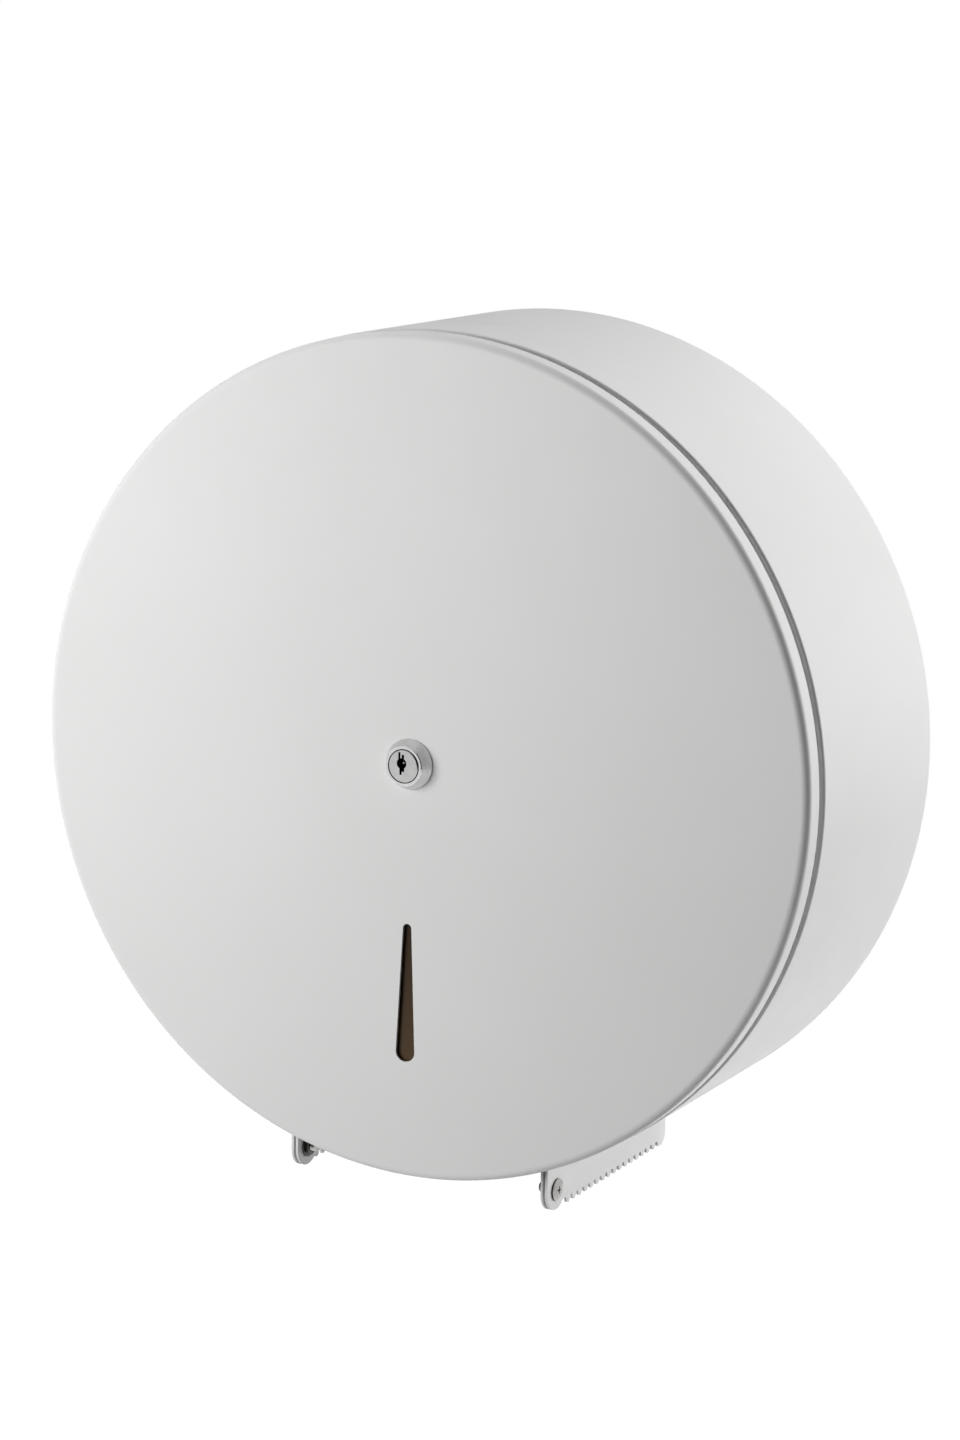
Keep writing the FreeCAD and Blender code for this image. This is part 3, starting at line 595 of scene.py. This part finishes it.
# %% [markdown]
# The paper hangs out through a gap in the bottom. Two planes cut the skin, and only the faces of
# the lower half ahead of the rear edge are given to the cut, so the rest of the ring stays whole.

# %% Paper outlet
OUTLET_HALF = 54.7
CUT_SNAP = 0.0001
DRUM_EDGE = 0.22


def outlet_faces(reach):
    """Lower faces ahead of the outlet's rear edge, within a distance from the middle."""
    found = []
    for face in drum.faces:
        middle = face.calc_center_median()
        if middle.z < 0 and middle.y < -OUTLET_REAR and abs(middle.x) < reach:
            found.append(face)
    return found


for side in (-1, 1):
    faces = outlet_faces(DRUM_RADIUS)
    edges = {edge for face in faces for edge in face.edges}
    verts = {vert for face in faces for vert in face.verts}
    bmesh.ops.bisect_plane(drum, geom=faces + list(edges) + list(verts), dist=CUT_SNAP,
                           plane_co=(side * OUTLET_HALF, 0, 0), plane_no=(1, 0, 0))
bmesh.ops.delete(drum, geom=outlet_faces(OUTLET_HALF), context="FACES")
point_away(drum, (0, -DRUM_RADIUS / 2, 0))
thicken(drum, SHEET)
ease(drum, DRUM_EDGE)
hand_over("drum_band", drum, "casing", ["drum_shell"], "satin_white_coat")

# %% [markdown]
# ## Back plate
# The plate that is screwed to the wall lies flush with the drum's rear flange, and its rim steps
# forward over the flange. It is turned as its rear skin, filled round the four screw holes, and
# gets its wall towards the room.

# %% Back plate with its step and four holes
PLATE_SHEET = 1.5
PLATE_MIDDLE = 147.5
PLATE_RIM = 154.9
PLATE_FILL = 140.0
WALL_HOLE = (70.0, 3.25)

back = bmesh.new()
outline(back, [(PLATE_FILL, 0), (PLATE_MIDDLE, 0), (PLATE_MIDDLE, SHEET), (PLATE_RIM, SHEET)],
        closed=False)
turn(back, ROUND)
holes = bmesh.new()
offset, radius = WALL_HOLE
for right in (-offset, offset):
    for up in (-offset, offset):
        bmesh.ops.create_circle(holes, cap_ends=False, segments=40, radius=radius,
                                matrix=moved(right, up, 0))
add(back, holes, ON_LATHE)
loops = [edge for edge in back.edges
         if not edge.link_faces or (edge.is_boundary and edge.verts[0].co.y < TOUCHING)]
fill(back, loops, normal=(0, -1, 0))
point_away(back, (0, DRUM_RADIUS, 0))
thicken(back, PLATE_SHEET)
ease(back, COATED_EDGE)
hand_over("wall_plate", back, "casing", ["back_plate"], slot_of["back_plate"], OFF_THE_WALL)

# %% [markdown]
# ## Tear plates
# Paper is torn against rounded fingers with U-shaped notches between them, so nobody gets cut. The
# plate's front end is a round lobe for the hinge screw. Teeth could be cut one by one with a
# Boolean, but a pen that spins a half circle up and a half circle down draws the whole edge in one
# loop. The plate's front and height are counted from the wall and from the casing's axis, and the
# density is in grams to the cubic millimetre.

# %% Outline of a tear plate
PLATE_INNER_FACE = 53.65
PLATE_TOP = -146.3
HINGE = (98.85, -158.6)
LOBE = 7.8
TIP = -166.5
PITCH = 5.05
NOTCH = 1.0
FINGER = (PITCH - 2 * NOTCH) / 2
FIRST_NOTCH = 91.15
NOTCHES = 17
REAR_END = 2.3
REAR_CORNER = 4.5
CORNER_STEPS = 12
REAR_TOP = -148.5
REAR_STEP = 5.05
SCREW_HOLE = 2.06
BLADE_EDGE = 0.16
TOOTH_STEPS = 12
LOBE_STEPS = 36
STEEL_DENSITY = 0.00785


def draw_tear_plate(bm):
    """Outline with a lobe, notches, fingers and screw hole; X is off the wall and Y is up."""
    off, up = HINGE
    middle = TIP + FINGER
    root = middle + NOTCH
    below = root - up
    back_of_lobe = math.sqrt(LOBE ** 2 - below ** 2)
    swing = 180 - math.degrees(math.atan2(-below, back_of_lobe))
    pen = Pen(bm, off + LOBE, PLATE_TOP)
    pen.line(off + LOBE, up)
    pen.arc(off, up, -swing, LOBE_STEPS)
    pen.line(FIRST_NOTCH, root)
    pen.arc(FIRST_NOTCH, middle, 90, TOOTH_STEPS // 2)
    for index in range(NOTCHES - 1):
        notch = FIRST_NOTCH - index * PITCH
        pen.arc(notch - NOTCH - FINGER, middle, -180, TOOTH_STEPS)
        pen.arc(notch - PITCH, middle, 180, TOOTH_STEPS)
    last = FIRST_NOTCH - (NOTCHES - 1) * PITCH - NOTCH - FINGER
    pen.arc(last, middle, -90, TOOTH_STEPS // 2)
    pen.line(REAR_END + REAR_CORNER, TIP)
    pen.arc(REAR_END + REAR_CORNER, TIP + REAR_CORNER, -90, CORNER_STEPS)
    pen.line(REAR_END, REAR_TOP)
    pen.line(REAR_STEP, REAR_TOP)
    pen.line(REAR_STEP, PLATE_TOP)
    pen.close()
    bmesh.ops.create_circle(bm, cap_ends=False, segments=32, radius=SCREW_HOLE,
                            matrix=moved(*HINGE, 0))


trial = cut_plate(SHEET, BLADE_EDGE, draw_tear_plate)
print("one tear plate weighs", round(trial.calc_volume() * STEEL_DENSITY, 1), "grams in steel")
trial.free()

# %% [markdown]
# Above the teeth the plate is folded out, and this flange is welded to the drum's inner wall. The
# flange is one straight edge spun a few degrees about the casing's axis.

# %% Flange, and both tear plates
FLANGE_RADIUS = 156.95
FLANGE_ENDS = (8.0, 100.8)
FLANGE_SIDES = (54.65, 71.65)


def plate_flange():
    """The curved strip inside the drum's wall."""
    bm = bmesh.new()
    first, last = [math.asin(side / FLANGE_RADIUS) for side in FLANGE_SIDES]
    right, drop = FLANGE_RADIUS * math.sin(first), -FLANGE_RADIUS * math.cos(first)
    ends = [bm.verts.new((right, -off, drop)) for off in FLANGE_ENDS]
    edge = bm.edges.new(ends)
    bmesh.ops.spin(bm, geom=ends + [edge], cent=(0, 0, 0), axis=(0, -1, 0), dvec=(0, 0, 0),
                   angle=last - first, steps=8)
    point_away(bm, (0, 0, 0))
    thicken(bm, SHEET)
    ease(bm, COATED_EDGE)
    return bm


for name, side in (("left", MIRRORED), ("right", STILL)):
    blade = bmesh.new()
    plate = cut_plate(SHEET, BLADE_EDGE, draw_tear_plate)
    add(blade, plate, side @ moved(PLATE_INNER_FACE, 0, 0) @ EDGE_ON)
    add(blade, plate_flange(), side)
    hand_over("tear_blade_" + name, blade, "casing", ["tear_plate_" + name], "satin_white_coat")

# %% [markdown]
# ## Hinge
# Two straps of the cover come down between the tear plates and swing on domed screws. A strap is a
# flat plate with a welded foot behind the cover's face, so it is two flat plates in one piece.

# %% Hinge straps
STRAP_INNER_FACE = 51.75
STRAP_STEP = -144.5
STRAP_TOP = -130.0
STRAP_SLOPE = 9.0
FOOT_WIDTH = 14.0
FOOT_CORNER = 3.0


def draw_strap(bm):
    """Outline from the lobe's front, up, forward to the cover and back; X is off the wall."""
    off, up = HINGE
    inside = FACE - SHEET
    pen = Pen(bm, off + LOBE, up)
    pen.line(off + LOBE, STRAP_STEP)
    pen.line(inside, STRAP_STEP)
    pen.line(inside, STRAP_TOP)
    pen.line(off - LOBE + STRAP_SLOPE, STRAP_TOP)
    pen.line(off - LOBE, STRAP_TOP - STRAP_SLOPE)
    pen.line(off - LOBE, up)
    pen.arc(off, up, 180, LOBE_STEPS)
    pen.close()
    bmesh.ops.create_circle(bm, cap_ends=False, segments=32, radius=SCREW_HOLE,
                            matrix=moved(*HINGE, 0))


def draw_foot(bm):
    """Outline of the foot, from the strap inwards; X is to the right and Y is up."""
    left = STRAP_INNER_FACE - FOOT_WIDTH
    outline(bm, [(STRAP_INNER_FACE, STRAP_STEP), (STRAP_INNER_FACE, STRAP_TOP),
                 (left, STRAP_TOP, FOOT_CORNER), (left, STRAP_STEP, FOOT_CORNER)])


for name, side in (("left", MIRRORED), ("right", STILL)):
    strap = bmesh.new()
    upright = cut_plate(SHEET, BLADE_EDGE, draw_strap)
    add(strap, upright, side @ moved(STRAP_INNER_FACE, 0, 0) @ EDGE_ON)
    foot = cut_plate(SHEET, BLADE_EDGE, draw_foot)
    add(strap, foot, side @ moved(0, -(FACE - SHEET), 0) @ FACING)
    hand_over("hinge_strap_" + name, strap, "cover", ["hinge_ear_" + name], "satin_white_coat")

# %% [markdown]
# The hinge screw has a low dome for a head, and is turned from the rim of its open top down to its
# point. The dome is an arc about a centre far down the shank. The end that sticks out of the nut
# shows its thread, which is a row of small steps in the section. The cross is drawn in the open
# top, filled round, and sunk by extruding its outline and drawing it in. The dome keeps the
# polished finish, and the rim's low wall is painted near black: painted shade of the crevice under
# the head's edge. Its faces are found by their distance from the axis, to a tenth of a millimetre.

# %% Domed screw with a cross recess
HEAD_RADIUS = 4.2
HEAD_HEIGHT = 1.3
HEAD_RIM = 0.6
HEAD_OPEN = 1.7
SCREW_RADIUS = 2.0
SCREW_LENGTH = 6.65
THREAD_STEP = 0.5
THREAD_STEPS = 6
THREAD_DEPTH = 0.3
CROSS = (1.5, 0.35)
CROSS_DEPTH = 1.0
CROSS_TAPER = 0.62
SMALL_ROUND = 64
NEAR = 0.1


def draw_cross(bm):
    """The cross's outline."""
    reach, half = CROSS
    outline(bm, [(half, half), (half, reach), (-half, reach), (-half, half), (-reach, half),
                 (-reach, -half), (-half, -half), (-half, -reach), (half, -reach), (half, -half),
                 (reach, -half), (reach, half)])


def sink(bm, edges, depth, narrowed):
    """Extrudes a hole's outline along -Y, draws it in and closes its floor."""
    grown = bmesh.ops.extrude_edge_only(bm, edges=edges)["geom"]
    verts = [item for item in grown if isinstance(item, bmesh.types.BMVert)]
    centre = sum((vert.co for vert in verts), Vector()) / len(verts)
    bmesh.ops.translate(bm, vec=(0, -depth, 0), verts=verts)
    bmesh.ops.scale(bm, vec=(narrowed, 1, narrowed), verts=verts,
                    space=Matrix.Translation(-(centre + Vector((0, -depth, 0)))))
    rim = [item for item in grown if isinstance(item, bmesh.types.BMEdge) and item.is_boundary]
    fill(bm, rim, normal=(0, 1, 0))


def domed_screw():
    """A screw on the Y axis, its head's seat at zero."""
    bm = bmesh.new()
    dome = HEAD_HEIGHT - HEAD_RIM
    radius = (HEAD_RADIUS ** 2 + dome ** 2) / (2 * dome)
    centre = HEAD_HEIGHT - radius
    first, last = [math.asin(reach / radius) for reach in (HEAD_OPEN, HEAD_RADIUS)]
    top = centre + radius * math.cos(first)
    pen = Pen(bm, HEAD_OPEN, top)
    pen.arc(0, centre, math.degrees(first - last), 12)
    pen.line(HEAD_RADIUS, 0)
    pen.line(SCREW_RADIUS, 0)
    for step in range(THREAD_STEPS, 0, -1):
        depth = SCREW_LENGTH - step * THREAD_STEP
        pen.line(SCREW_RADIUS, -depth)
        pen.line(SCREW_RADIUS - THREAD_DEPTH, -depth - THREAD_STEP / 2)
    pen.line(SCREW_RADIUS - THREAD_DEPTH, -SCREW_LENGTH)
    pen.line(0, -SCREW_LENGTH)
    turn(bm, SMALL_ROUND)
    # Painted shade: the rim's low wall takes the near-black second finish, for the crevice under
    # the head's edge.
    mark_ring(bm, (HEAD_RADIUS - NEAR, HEAD_RADIUS + NEAR), 0, HEAD_RIM)
    cross = bmesh.new()
    draw_cross(cross)
    add(bm, cross, moved(0, top, 0) @ ON_LATHE)
    bm.edges.ensure_lookup_table()
    recess = [edge for edge in bm.edges if not edge.link_faces]
    rim = [edge for edge in bm.edges if edge.is_boundary]
    fill(bm, rim + recess, normal=(0, 1, 0))
    sink(bm, recess, CROSS_DEPTH, CROSS_TAPER)
    return bm


trial = domed_screw()
open_edges = sum(not edge.is_manifold for edge in trial.edges)
print("screw faces:", len(trial.faces), "open edges:", open_edges)
trial.free()

# %% [markdown]
# Each nut is a thin hexagon with a bore, and each washer is a flat ring, all in blackened steel.
# They sit on the hinge's axis, so one placement turns the Y axis to the right and the mirror makes
# the left side.

# %% Nuts and washers
NUT_FLATS = 6.6
NUT_BORE = 2.03
NUT_HEIGHT = 1.4
NUT_FACE = 51.15
NUT_EDGE = 0.2
WASHER_RADIUS = 4.6
WASHER_BORE = 2.05
WASHER_EDGE = 0.12
WASHERS = ((52.85, 53.65), (NUT_FACE, 51.65))
ON_HINGE = moved(0, -HINGE[0], HINGE[1]) @ Matrix.Rotation(-math.pi / 2, 4, "Z")
TIPPED_UP = Matrix.Rotation(-math.pi / 2, 4, "X")


def draw_nut(bm):
    """Hexagon with its bore."""
    bmesh.ops.create_circle(bm, cap_ends=False, segments=6, radius=NUT_FLATS / math.sqrt(3))
    bmesh.ops.create_circle(bm, cap_ends=False, segments=40, radius=NUT_BORE)


def washer(start, end):
    """A flat ring on the Y axis between two distances."""
    bm = bmesh.new()
    outline(bm, [(WASHER_BORE, start), (WASHER_RADIUS, start), (WASHER_RADIUS, end),
                 (WASHER_BORE, end)])
    turn(bm, SMALL_ROUND)
    ease(bm, WASHER_EDGE)
    return bm


screws, nuts, washers = bmesh.new(), bmesh.new(), bmesh.new()
for side in (STILL, MIRRORED):
    add(screws, domed_screw(), side @ ON_HINGE @ moved(0, PLATE_INNER_FACE + SHEET, 0))
    nut = cut_plate(NUT_HEIGHT, NUT_EDGE, draw_nut)
    add(nuts, nut, side @ ON_HINGE @ moved(0, NUT_FACE, 0) @ TIPPED_UP)
    for start, end in WASHERS:
        add(washers, washer(start, end), side @ ON_HINGE)
# The screws' rims are painted near black as shade under the head.
hand_over("pivot_screws", screws, "casing", ["hinge_screws"], "stainless_screw",
          second="black_steel")
hand_over("pivot_nuts", nuts, "casing", ["hinge_nuts"], "black_steel")
hand_over("pivot_washers", washers, "casing", ["hinge_washers"], "black_steel")

# %% [markdown]
# ## Lock
# A cam lock is a turned barrel: a cone head in front of the cover, a threaded shank behind it, and
# a bore for the plug. The shank's thread is drawn as rings, because nobody can tell them from a
# helix behind the cover, and rings keep the mesh closed.

# %% Lock barrel
LOCK_HEAD = 9.5
LOCK_LIP = 0.6
LOCK_RING = 7.4
LOCK_FRONT = 123.0
PLUG_RECESS = (6.35, 1.6)
BARREL = 8.0
BARREL_END = 99.5
PLUG_BORE = 6.05
PLUG_REAR = 101.5
TAIL_BORE = 4.05
THREAD_PITCH = 1.0
THREAD_CUT = 0.5
CREST = (0.4, 0.6)
LIP_BEND, FRONT_BEND, RECESS_BEND = 0.25, 0.4, 0.12
LOCK_ROUND = 144

root = BARREL - THREAD_CUT
section = [(TAIL_BORE, BARREL_END), (root, BARREL_END)]
off = BARREL_END
while off < FACE - 2 * SHEET:
    section += [(BARREL, off + share * THREAD_PITCH) for share in CREST]
    section.append((root, off + THREAD_PITCH))
    off += THREAD_PITCH
mouth, mouth_depth = PLUG_RECESS
section += [(root, FACE), (LOCK_HEAD, FACE), (LOCK_HEAD, FACE + LOCK_LIP, LIP_BEND),
            (LOCK_RING, LOCK_FRONT, FRONT_BEND), (mouth, LOCK_FRONT, RECESS_BEND),
            (mouth, LOCK_FRONT - mouth_depth), (PLUG_BORE, LOCK_FRONT - mouth_depth),
            (PLUG_BORE, PLUG_REAR), (TAIL_BORE, PLUG_REAR)]

barrel = bmesh.new()
outline(barrel, section)
turn(barrel, LOCK_ROUND)
# Painted shade: the recess round the plug and the plug's bore take the near-black second finish.
mark_ring(barrel, (0, mouth + NEAR), PLUG_REAR, LOCK_FRONT - NEAR)
hand_over("lock_barrel", barrel, "cover", ["lock_housing"], "lock_chrome", OFF_THE_WALL,
          second="bore_painted_shade")

# %% [markdown]
# The plug turns with the key. Its keyway is a round hole with two prongs above and a stepped slot
# below, and a fixed pin stands in the middle. The outline is one pen stroke: arcs of the round
# hole between the prongs, each of which is given by its left side, right side and top. It is
# filled into the plug's end and sunk, as the screw's cross was.

# %% Keyway
KEYWAY = (-0.6, 1.0)
KEY_HOLE = 2.0
LEFT_PRONG = (-1.375, -0.525, 4.2)
RIGHT_PRONG = (0, 1.0, 3.3)
STEPPED_SLOT = ((1.15, -3.0), (0.1, -3.0), (0.1, -4.2), (-0.8, -4.2), (-0.8, -3.0), (-0.85, -3.0))
ARC_STEP = 9


def draw_keyway(bm):
    """The keyway about its own centre: straight prongs joined by arcs of the hole."""
    def meet(x, sign):
        return x, sign * math.sqrt(KEY_HOLE ** 2 - x ** 2)

    def arc_to(x, sign):
        start = math.atan2(pen.tip.co.y, pen.tip.co.x)
        end = math.atan2(*reversed(meet(x, sign)))
        swing = math.degrees(start - end) % 360
        pen.arc(0, 0, -swing, max(2, round(swing / ARC_STEP)))

    pen = Pen(bm, *meet(LEFT_PRONG[0], 1))
    for left, right, top in (LEFT_PRONG, RIGHT_PRONG):
        if pen.tip is not pen.first:
            arc_to(left, 1)
        for corner in ((left, top), (right, top), meet(right, 1)):
            pen.line(*corner)
    arc_to(STEPPED_SLOT[0][0], -1)
    for corner in (*STEPPED_SLOT, meet(STEPPED_SLOT[-1][0], -1)):
        pen.line(*corner)
    arc_to(LEFT_PRONG[0], 1)
    pen.close()
    bmesh.ops.translate(bm, vec=(*KEYWAY, 0), verts=bm.verts[:])


trial = bmesh.new()
draw_keyway(trial)
print("keyway outline:", len(trial.edges), "edges,",
      "closed" if all(len(vert.link_edges) == 2 for vert in trial.verts) else "open")
trial.free()

# %% [markdown]
# Inside the keyway a plated pin stands on the floor and gives a small glint. The keyway's own walls
# get the near-black finish of the bore, painted shade for the deep hollow, and so does the plug's
# side, which turns inside the barrel, painted shade for the gap round the plug.

# %% Plug with its pin
PLUG = 6.0
PLUG_FRONT = 123.3
PLUG_CHAMFER = 0.25
TAIL = 4.0
TAIL_END = 95.0
KEYWAY_DEPTH = 13.0
KEYWAY_REACH = 5.5
PIN = (0.4, 1.5)
PIN_BEND = 0.2
PIN_ROOT = 0.5
PIN_ROUND = 32

plug = bmesh.new()
outline(plug, [(PLUG - PLUG_CHAMFER, PLUG_FRONT), (PLUG, PLUG_FRONT - PLUG_CHAMFER),
               (PLUG, PLUG_REAR), (TAIL, PLUG_REAR), (TAIL, TAIL_END), (0, TAIL_END)], closed=False)
turn(plug, LOCK_ROUND)
keyway = bmesh.new()
draw_keyway(keyway)
add(plug, keyway, moved(0, PLUG_FRONT, 0) @ ON_LATHE)
recess = [edge for edge in plug.edges if not edge.link_faces]
rim = [edge for edge in plug.edges if edge.is_boundary]
fill(plug, rim + recess, normal=(0, 1, 0))
sink(plug, recess, KEYWAY_DEPTH, 1.0)
keyway_floor = PLUG_FRONT - KEYWAY_DEPTH
# Painted shade: the plug's side in its gap and the keyway's walls take the near-black second
# finish.
mark_ring(plug, (PLUG - NEAR, PLUG + NEAR), PLUG_REAR, PLUG_FRONT - PLUG_CHAMFER)
mark_ring(plug, (0, KEYWAY_REACH), keyway_floor - NEAR, PLUG_FRONT - NEAR)
pin = bmesh.new()
radius, recessed = PIN
outline(pin, [(0, PLUG_FRONT - recessed), (radius, PLUG_FRONT - recessed, PIN_BEND),
              (radius, keyway_floor - PIN_ROOT), (0, keyway_floor - PIN_ROOT)], closed=False)
turn(pin, PIN_ROUND)
add(plug, pin, moved(KEYWAY[0], 0, -KEYWAY[1]))
hand_over("key_plug", plug, "plug", ["lock_plug"], "lock_satin_chrome", OFF_THE_WALL,
          second="bore_painted_shade")

# %% [markdown]
# ## Stage
# The dispenser hangs well above a pale floor. The photograph's ground is plain white, so the floor
# and the world look white to the camera and in reflections, while the light that reaches the
# object stays at a plain level. The floor still takes the object's soft shadow.

# %% Floor
FLOOR_DEPTH = -1.05
FLOOR_REACH = 3.2
FLOOR_TONE = 0.62
FLOOR_ROUGHNESS = 0.9
FLOOR_GLOW = 0.86

floor_mesh = bmesh.new()
bmesh.ops.create_grid(floor_mesh, x_segments=4, y_segments=4, size=FLOOR_REACH,
                      matrix=Matrix.Translation((0, 0, FLOOR_DEPTH)))
mesh = bpy.data.meshes.new("pale_floor")
floor_mesh.to_mesh(mesh)
floor_mesh.free()
floor = bpy.data.objects.new("pale_floor", mesh)
bpy.context.scene.collection.objects.link(floor)
print("floor at", FLOOR_DEPTH, "m")

# %% [markdown]
# The floor's paint is a dull grey for the light, and it glows only where the camera or a
# reflection looks at it. So the ground is white in the picture without adding light to the object.

# %% Floor paint
paint = bpy.data.materials.new("floor_paint")
paint.use_nodes = True
tree = paint.node_tree
shader = tree.nodes["Principled BSDF"]
shader.inputs["Base Color"].default_value = (FLOOR_TONE, FLOOR_TONE, FLOOR_TONE, 1)
shader.inputs["Roughness"].default_value = FLOOR_ROUGHNESS
rays = tree.nodes.new("ShaderNodeLightPath")
glow = tree.nodes.new("ShaderNodeEmission")
glow.inputs["Color"].default_value = (1, 1, 1, 1)
total = tree.nodes.new("ShaderNodeAddShader")
seen = tree.nodes.new("ShaderNodeMath")
seen.operation = "MAXIMUM"
level = tree.nodes.new("ShaderNodeMath")
level.operation = "MULTIPLY"
level.inputs[1].default_value = FLOOR_GLOW
tree.links.new(rays.outputs["Is Camera Ray"], seen.inputs[0])
tree.links.new(rays.outputs["Is Glossy Ray"], seen.inputs[1])
tree.links.new(seen.outputs["Value"], level.inputs[0])
tree.links.new(level.outputs["Value"], glow.inputs["Strength"])
tree.links.new(shader.outputs["BSDF"], total.inputs[0])
tree.links.new(glow.outputs["Emission"], total.inputs[1])
tree.links.new(total.outputs["Shader"], tree.nodes["Material Output"].inputs["Surface"])
mesh.materials.append(paint)
print("floor glow:", FLOOR_GLOW)

# %% [markdown]
# The world gives a white ground to the camera and to clear plastic, and gloss sees that white too.
# It lights the object like a studio with a bright backdrop: most comes from behind and less from
# the camera's side. Two sides are open and dark: one to the right of the camera, which draws the
# thin dark line along a bend, and a narrow one behind on the left, which holds back the glare on
# the top.

# %% World
BACKDROP_LIGHT = 0.45
FRONT_LIGHT = 0.12
BACKDROP_SIDE = (0, 1, 0)
BACKDROP_EDGE = (-0.2, 0.5)
OPEN_SIDE = (0.81, -0.57, 0.12)
OPEN_SIDE_EDGE = (0.2, 0.8)
OPEN_SIDE_SHARE = 0.02
FAR_SIDE = (-0.32, 0.94, -0.10)
FAR_SIDE_EDGE = (0.86, 0.96)
FAR_SIDE_SHARE = 0.1

world = bpy.data.worlds.new("studio_white")
bpy.context.scene.world = world
world.use_nodes = True
sky = world.node_tree
background = sky.nodes["Background"]
background.inputs["Color"].default_value = (1, 1, 1, 1)
rays = sky.nodes.new("ShaderNodeLightPath")
directions = sky.nodes.new("ShaderNodeTexCoord")


def facing(side, edge, low, high):
    """A level that goes from low to high as the direction turns towards a side."""
    towards = sky.nodes.new("ShaderNodeVectorMath")
    towards.operation = "DOT_PRODUCT"
    towards.inputs[1].default_value = side
    sky.links.new(directions.outputs["Generated"], towards.inputs[0])
    level = sky.nodes.new("ShaderNodeMapRange")
    level.interpolation_type = "SMOOTHSTEP"
    for name, value in zip(("From Min", "From Max", "To Min", "To Max"), (*edge, low, high)):
        level.inputs[name].default_value = value
    sky.links.new(towards.outputs["Value"], level.inputs["Value"])
    return level.outputs["Result"]


def joined(operation, first, second):
    """Two values joined by a Math node."""
    node = sky.nodes.new("ShaderNodeMath")
    node.operation = operation
    sky.links.new(first, node.inputs[0])
    sky.links.new(second, node.inputs[1])
    return node.outputs["Value"]


room = joined("MAXIMUM", facing(BACKDROP_SIDE, BACKDROP_EDGE, FRONT_LIGHT, BACKDROP_LIGHT),
              rays.outputs["Is Glossy Ray"])
light = joined("MULTIPLY", room, facing(OPEN_SIDE, OPEN_SIDE_EDGE, 1.0, OPEN_SIDE_SHARE))
light = joined("MULTIPLY", light, facing(FAR_SIDE, FAR_SIDE_EDGE, 1.0, FAR_SIDE_SHARE))
clear = joined("MAXIMUM", rays.outputs["Is Camera Ray"], rays.outputs["Is Transmission Ray"])
sky.links.new(joined("MAXIMUM", clear, light), background.inputs["Strength"])
print("world light behind", BACKDROP_LIGHT, "and in front", FRONT_LIGHT)

# %% [markdown]
# A small soft box stands close by on the left and gives the face its slow fall of tone to the
# right. Two larger ones stand behind, on the right and above: they light the drum's side and its
# top, and leave the face and the bend alone. All three are hidden from the camera and from
# reflections, so that none of them flares in the lock or in the coat.

# %% Soft boxes
AIM = Vector((0, -0.06, 0))


def soft_box(name, place, size, energy):
    """An area light that looks at the casing's middle and isn't seen, in reflections either."""
    lamp = bpy.data.lights.new(name, "AREA")
    lamp.shape = "SQUARE"
    lamp.size = size
    lamp.energy = energy
    box = bpy.data.objects.new(name, lamp)
    box.location = place
    box.rotation_euler = (AIM - Vector(place)).to_track_quat("-Z", "Y").to_euler()
    box.visible_camera = False
    box.visible_glossy = False
    bpy.context.scene.collection.objects.link(box)
    print(name, "at", place, "with", energy, "W")


soft_box("box_left", (-0.45, -0.78, 0.16), size=0.5, energy=6.2)
soft_box("box_right_behind", (1.20, 1.05, 0.06), size=0.9, energy=20.5)
soft_box("box_above_behind", (0.43, 0.60, 1.18), size=0.6, energy=9.2)

# %% [markdown]
# The camera was solved from the round edges in the photograph, so its place and turn are plain
# numbers: where it stands in metres, and in radians which way it heads, how far it looks down and
# how much it leans.

# %% Camera
CAMERA_PLACE = (0.65329, -1.33227, 0.28976)
HEADING = 0.4752383
LOOK_UP = -0.1953635
LEAN = 0.0207604
LENS = 96.32
SENSOR = 36
FAR_CLIP = 50

lens = bpy.data.cameras.new("photo_camera")
lens.sensor_width = SENSOR
lens.lens = LENS
lens.clip_end = FAR_CLIP
camera = bpy.data.objects.new("photo_camera", lens)
bpy.context.scene.collection.objects.link(camera)
camera.matrix_world = (Matrix.Translation(CAMERA_PLACE)
                       @ Matrix.Rotation(HEADING, 4, "Z")
                       @ Matrix.Rotation(math.pi / 2 + LOOK_UP, 4, "X")
                       @ Matrix.Rotation(LEAN, 4, "Z"))
bpy.context.scene.camera = camera
bpy.context.scene.view_settings.view_transform = "Standard"
print("lens", LENS, "mm")

# %% [markdown]
# Last, the view layer is brought up to date.

# %% Bring the scene up to date
bpy.context.view_layer.update()
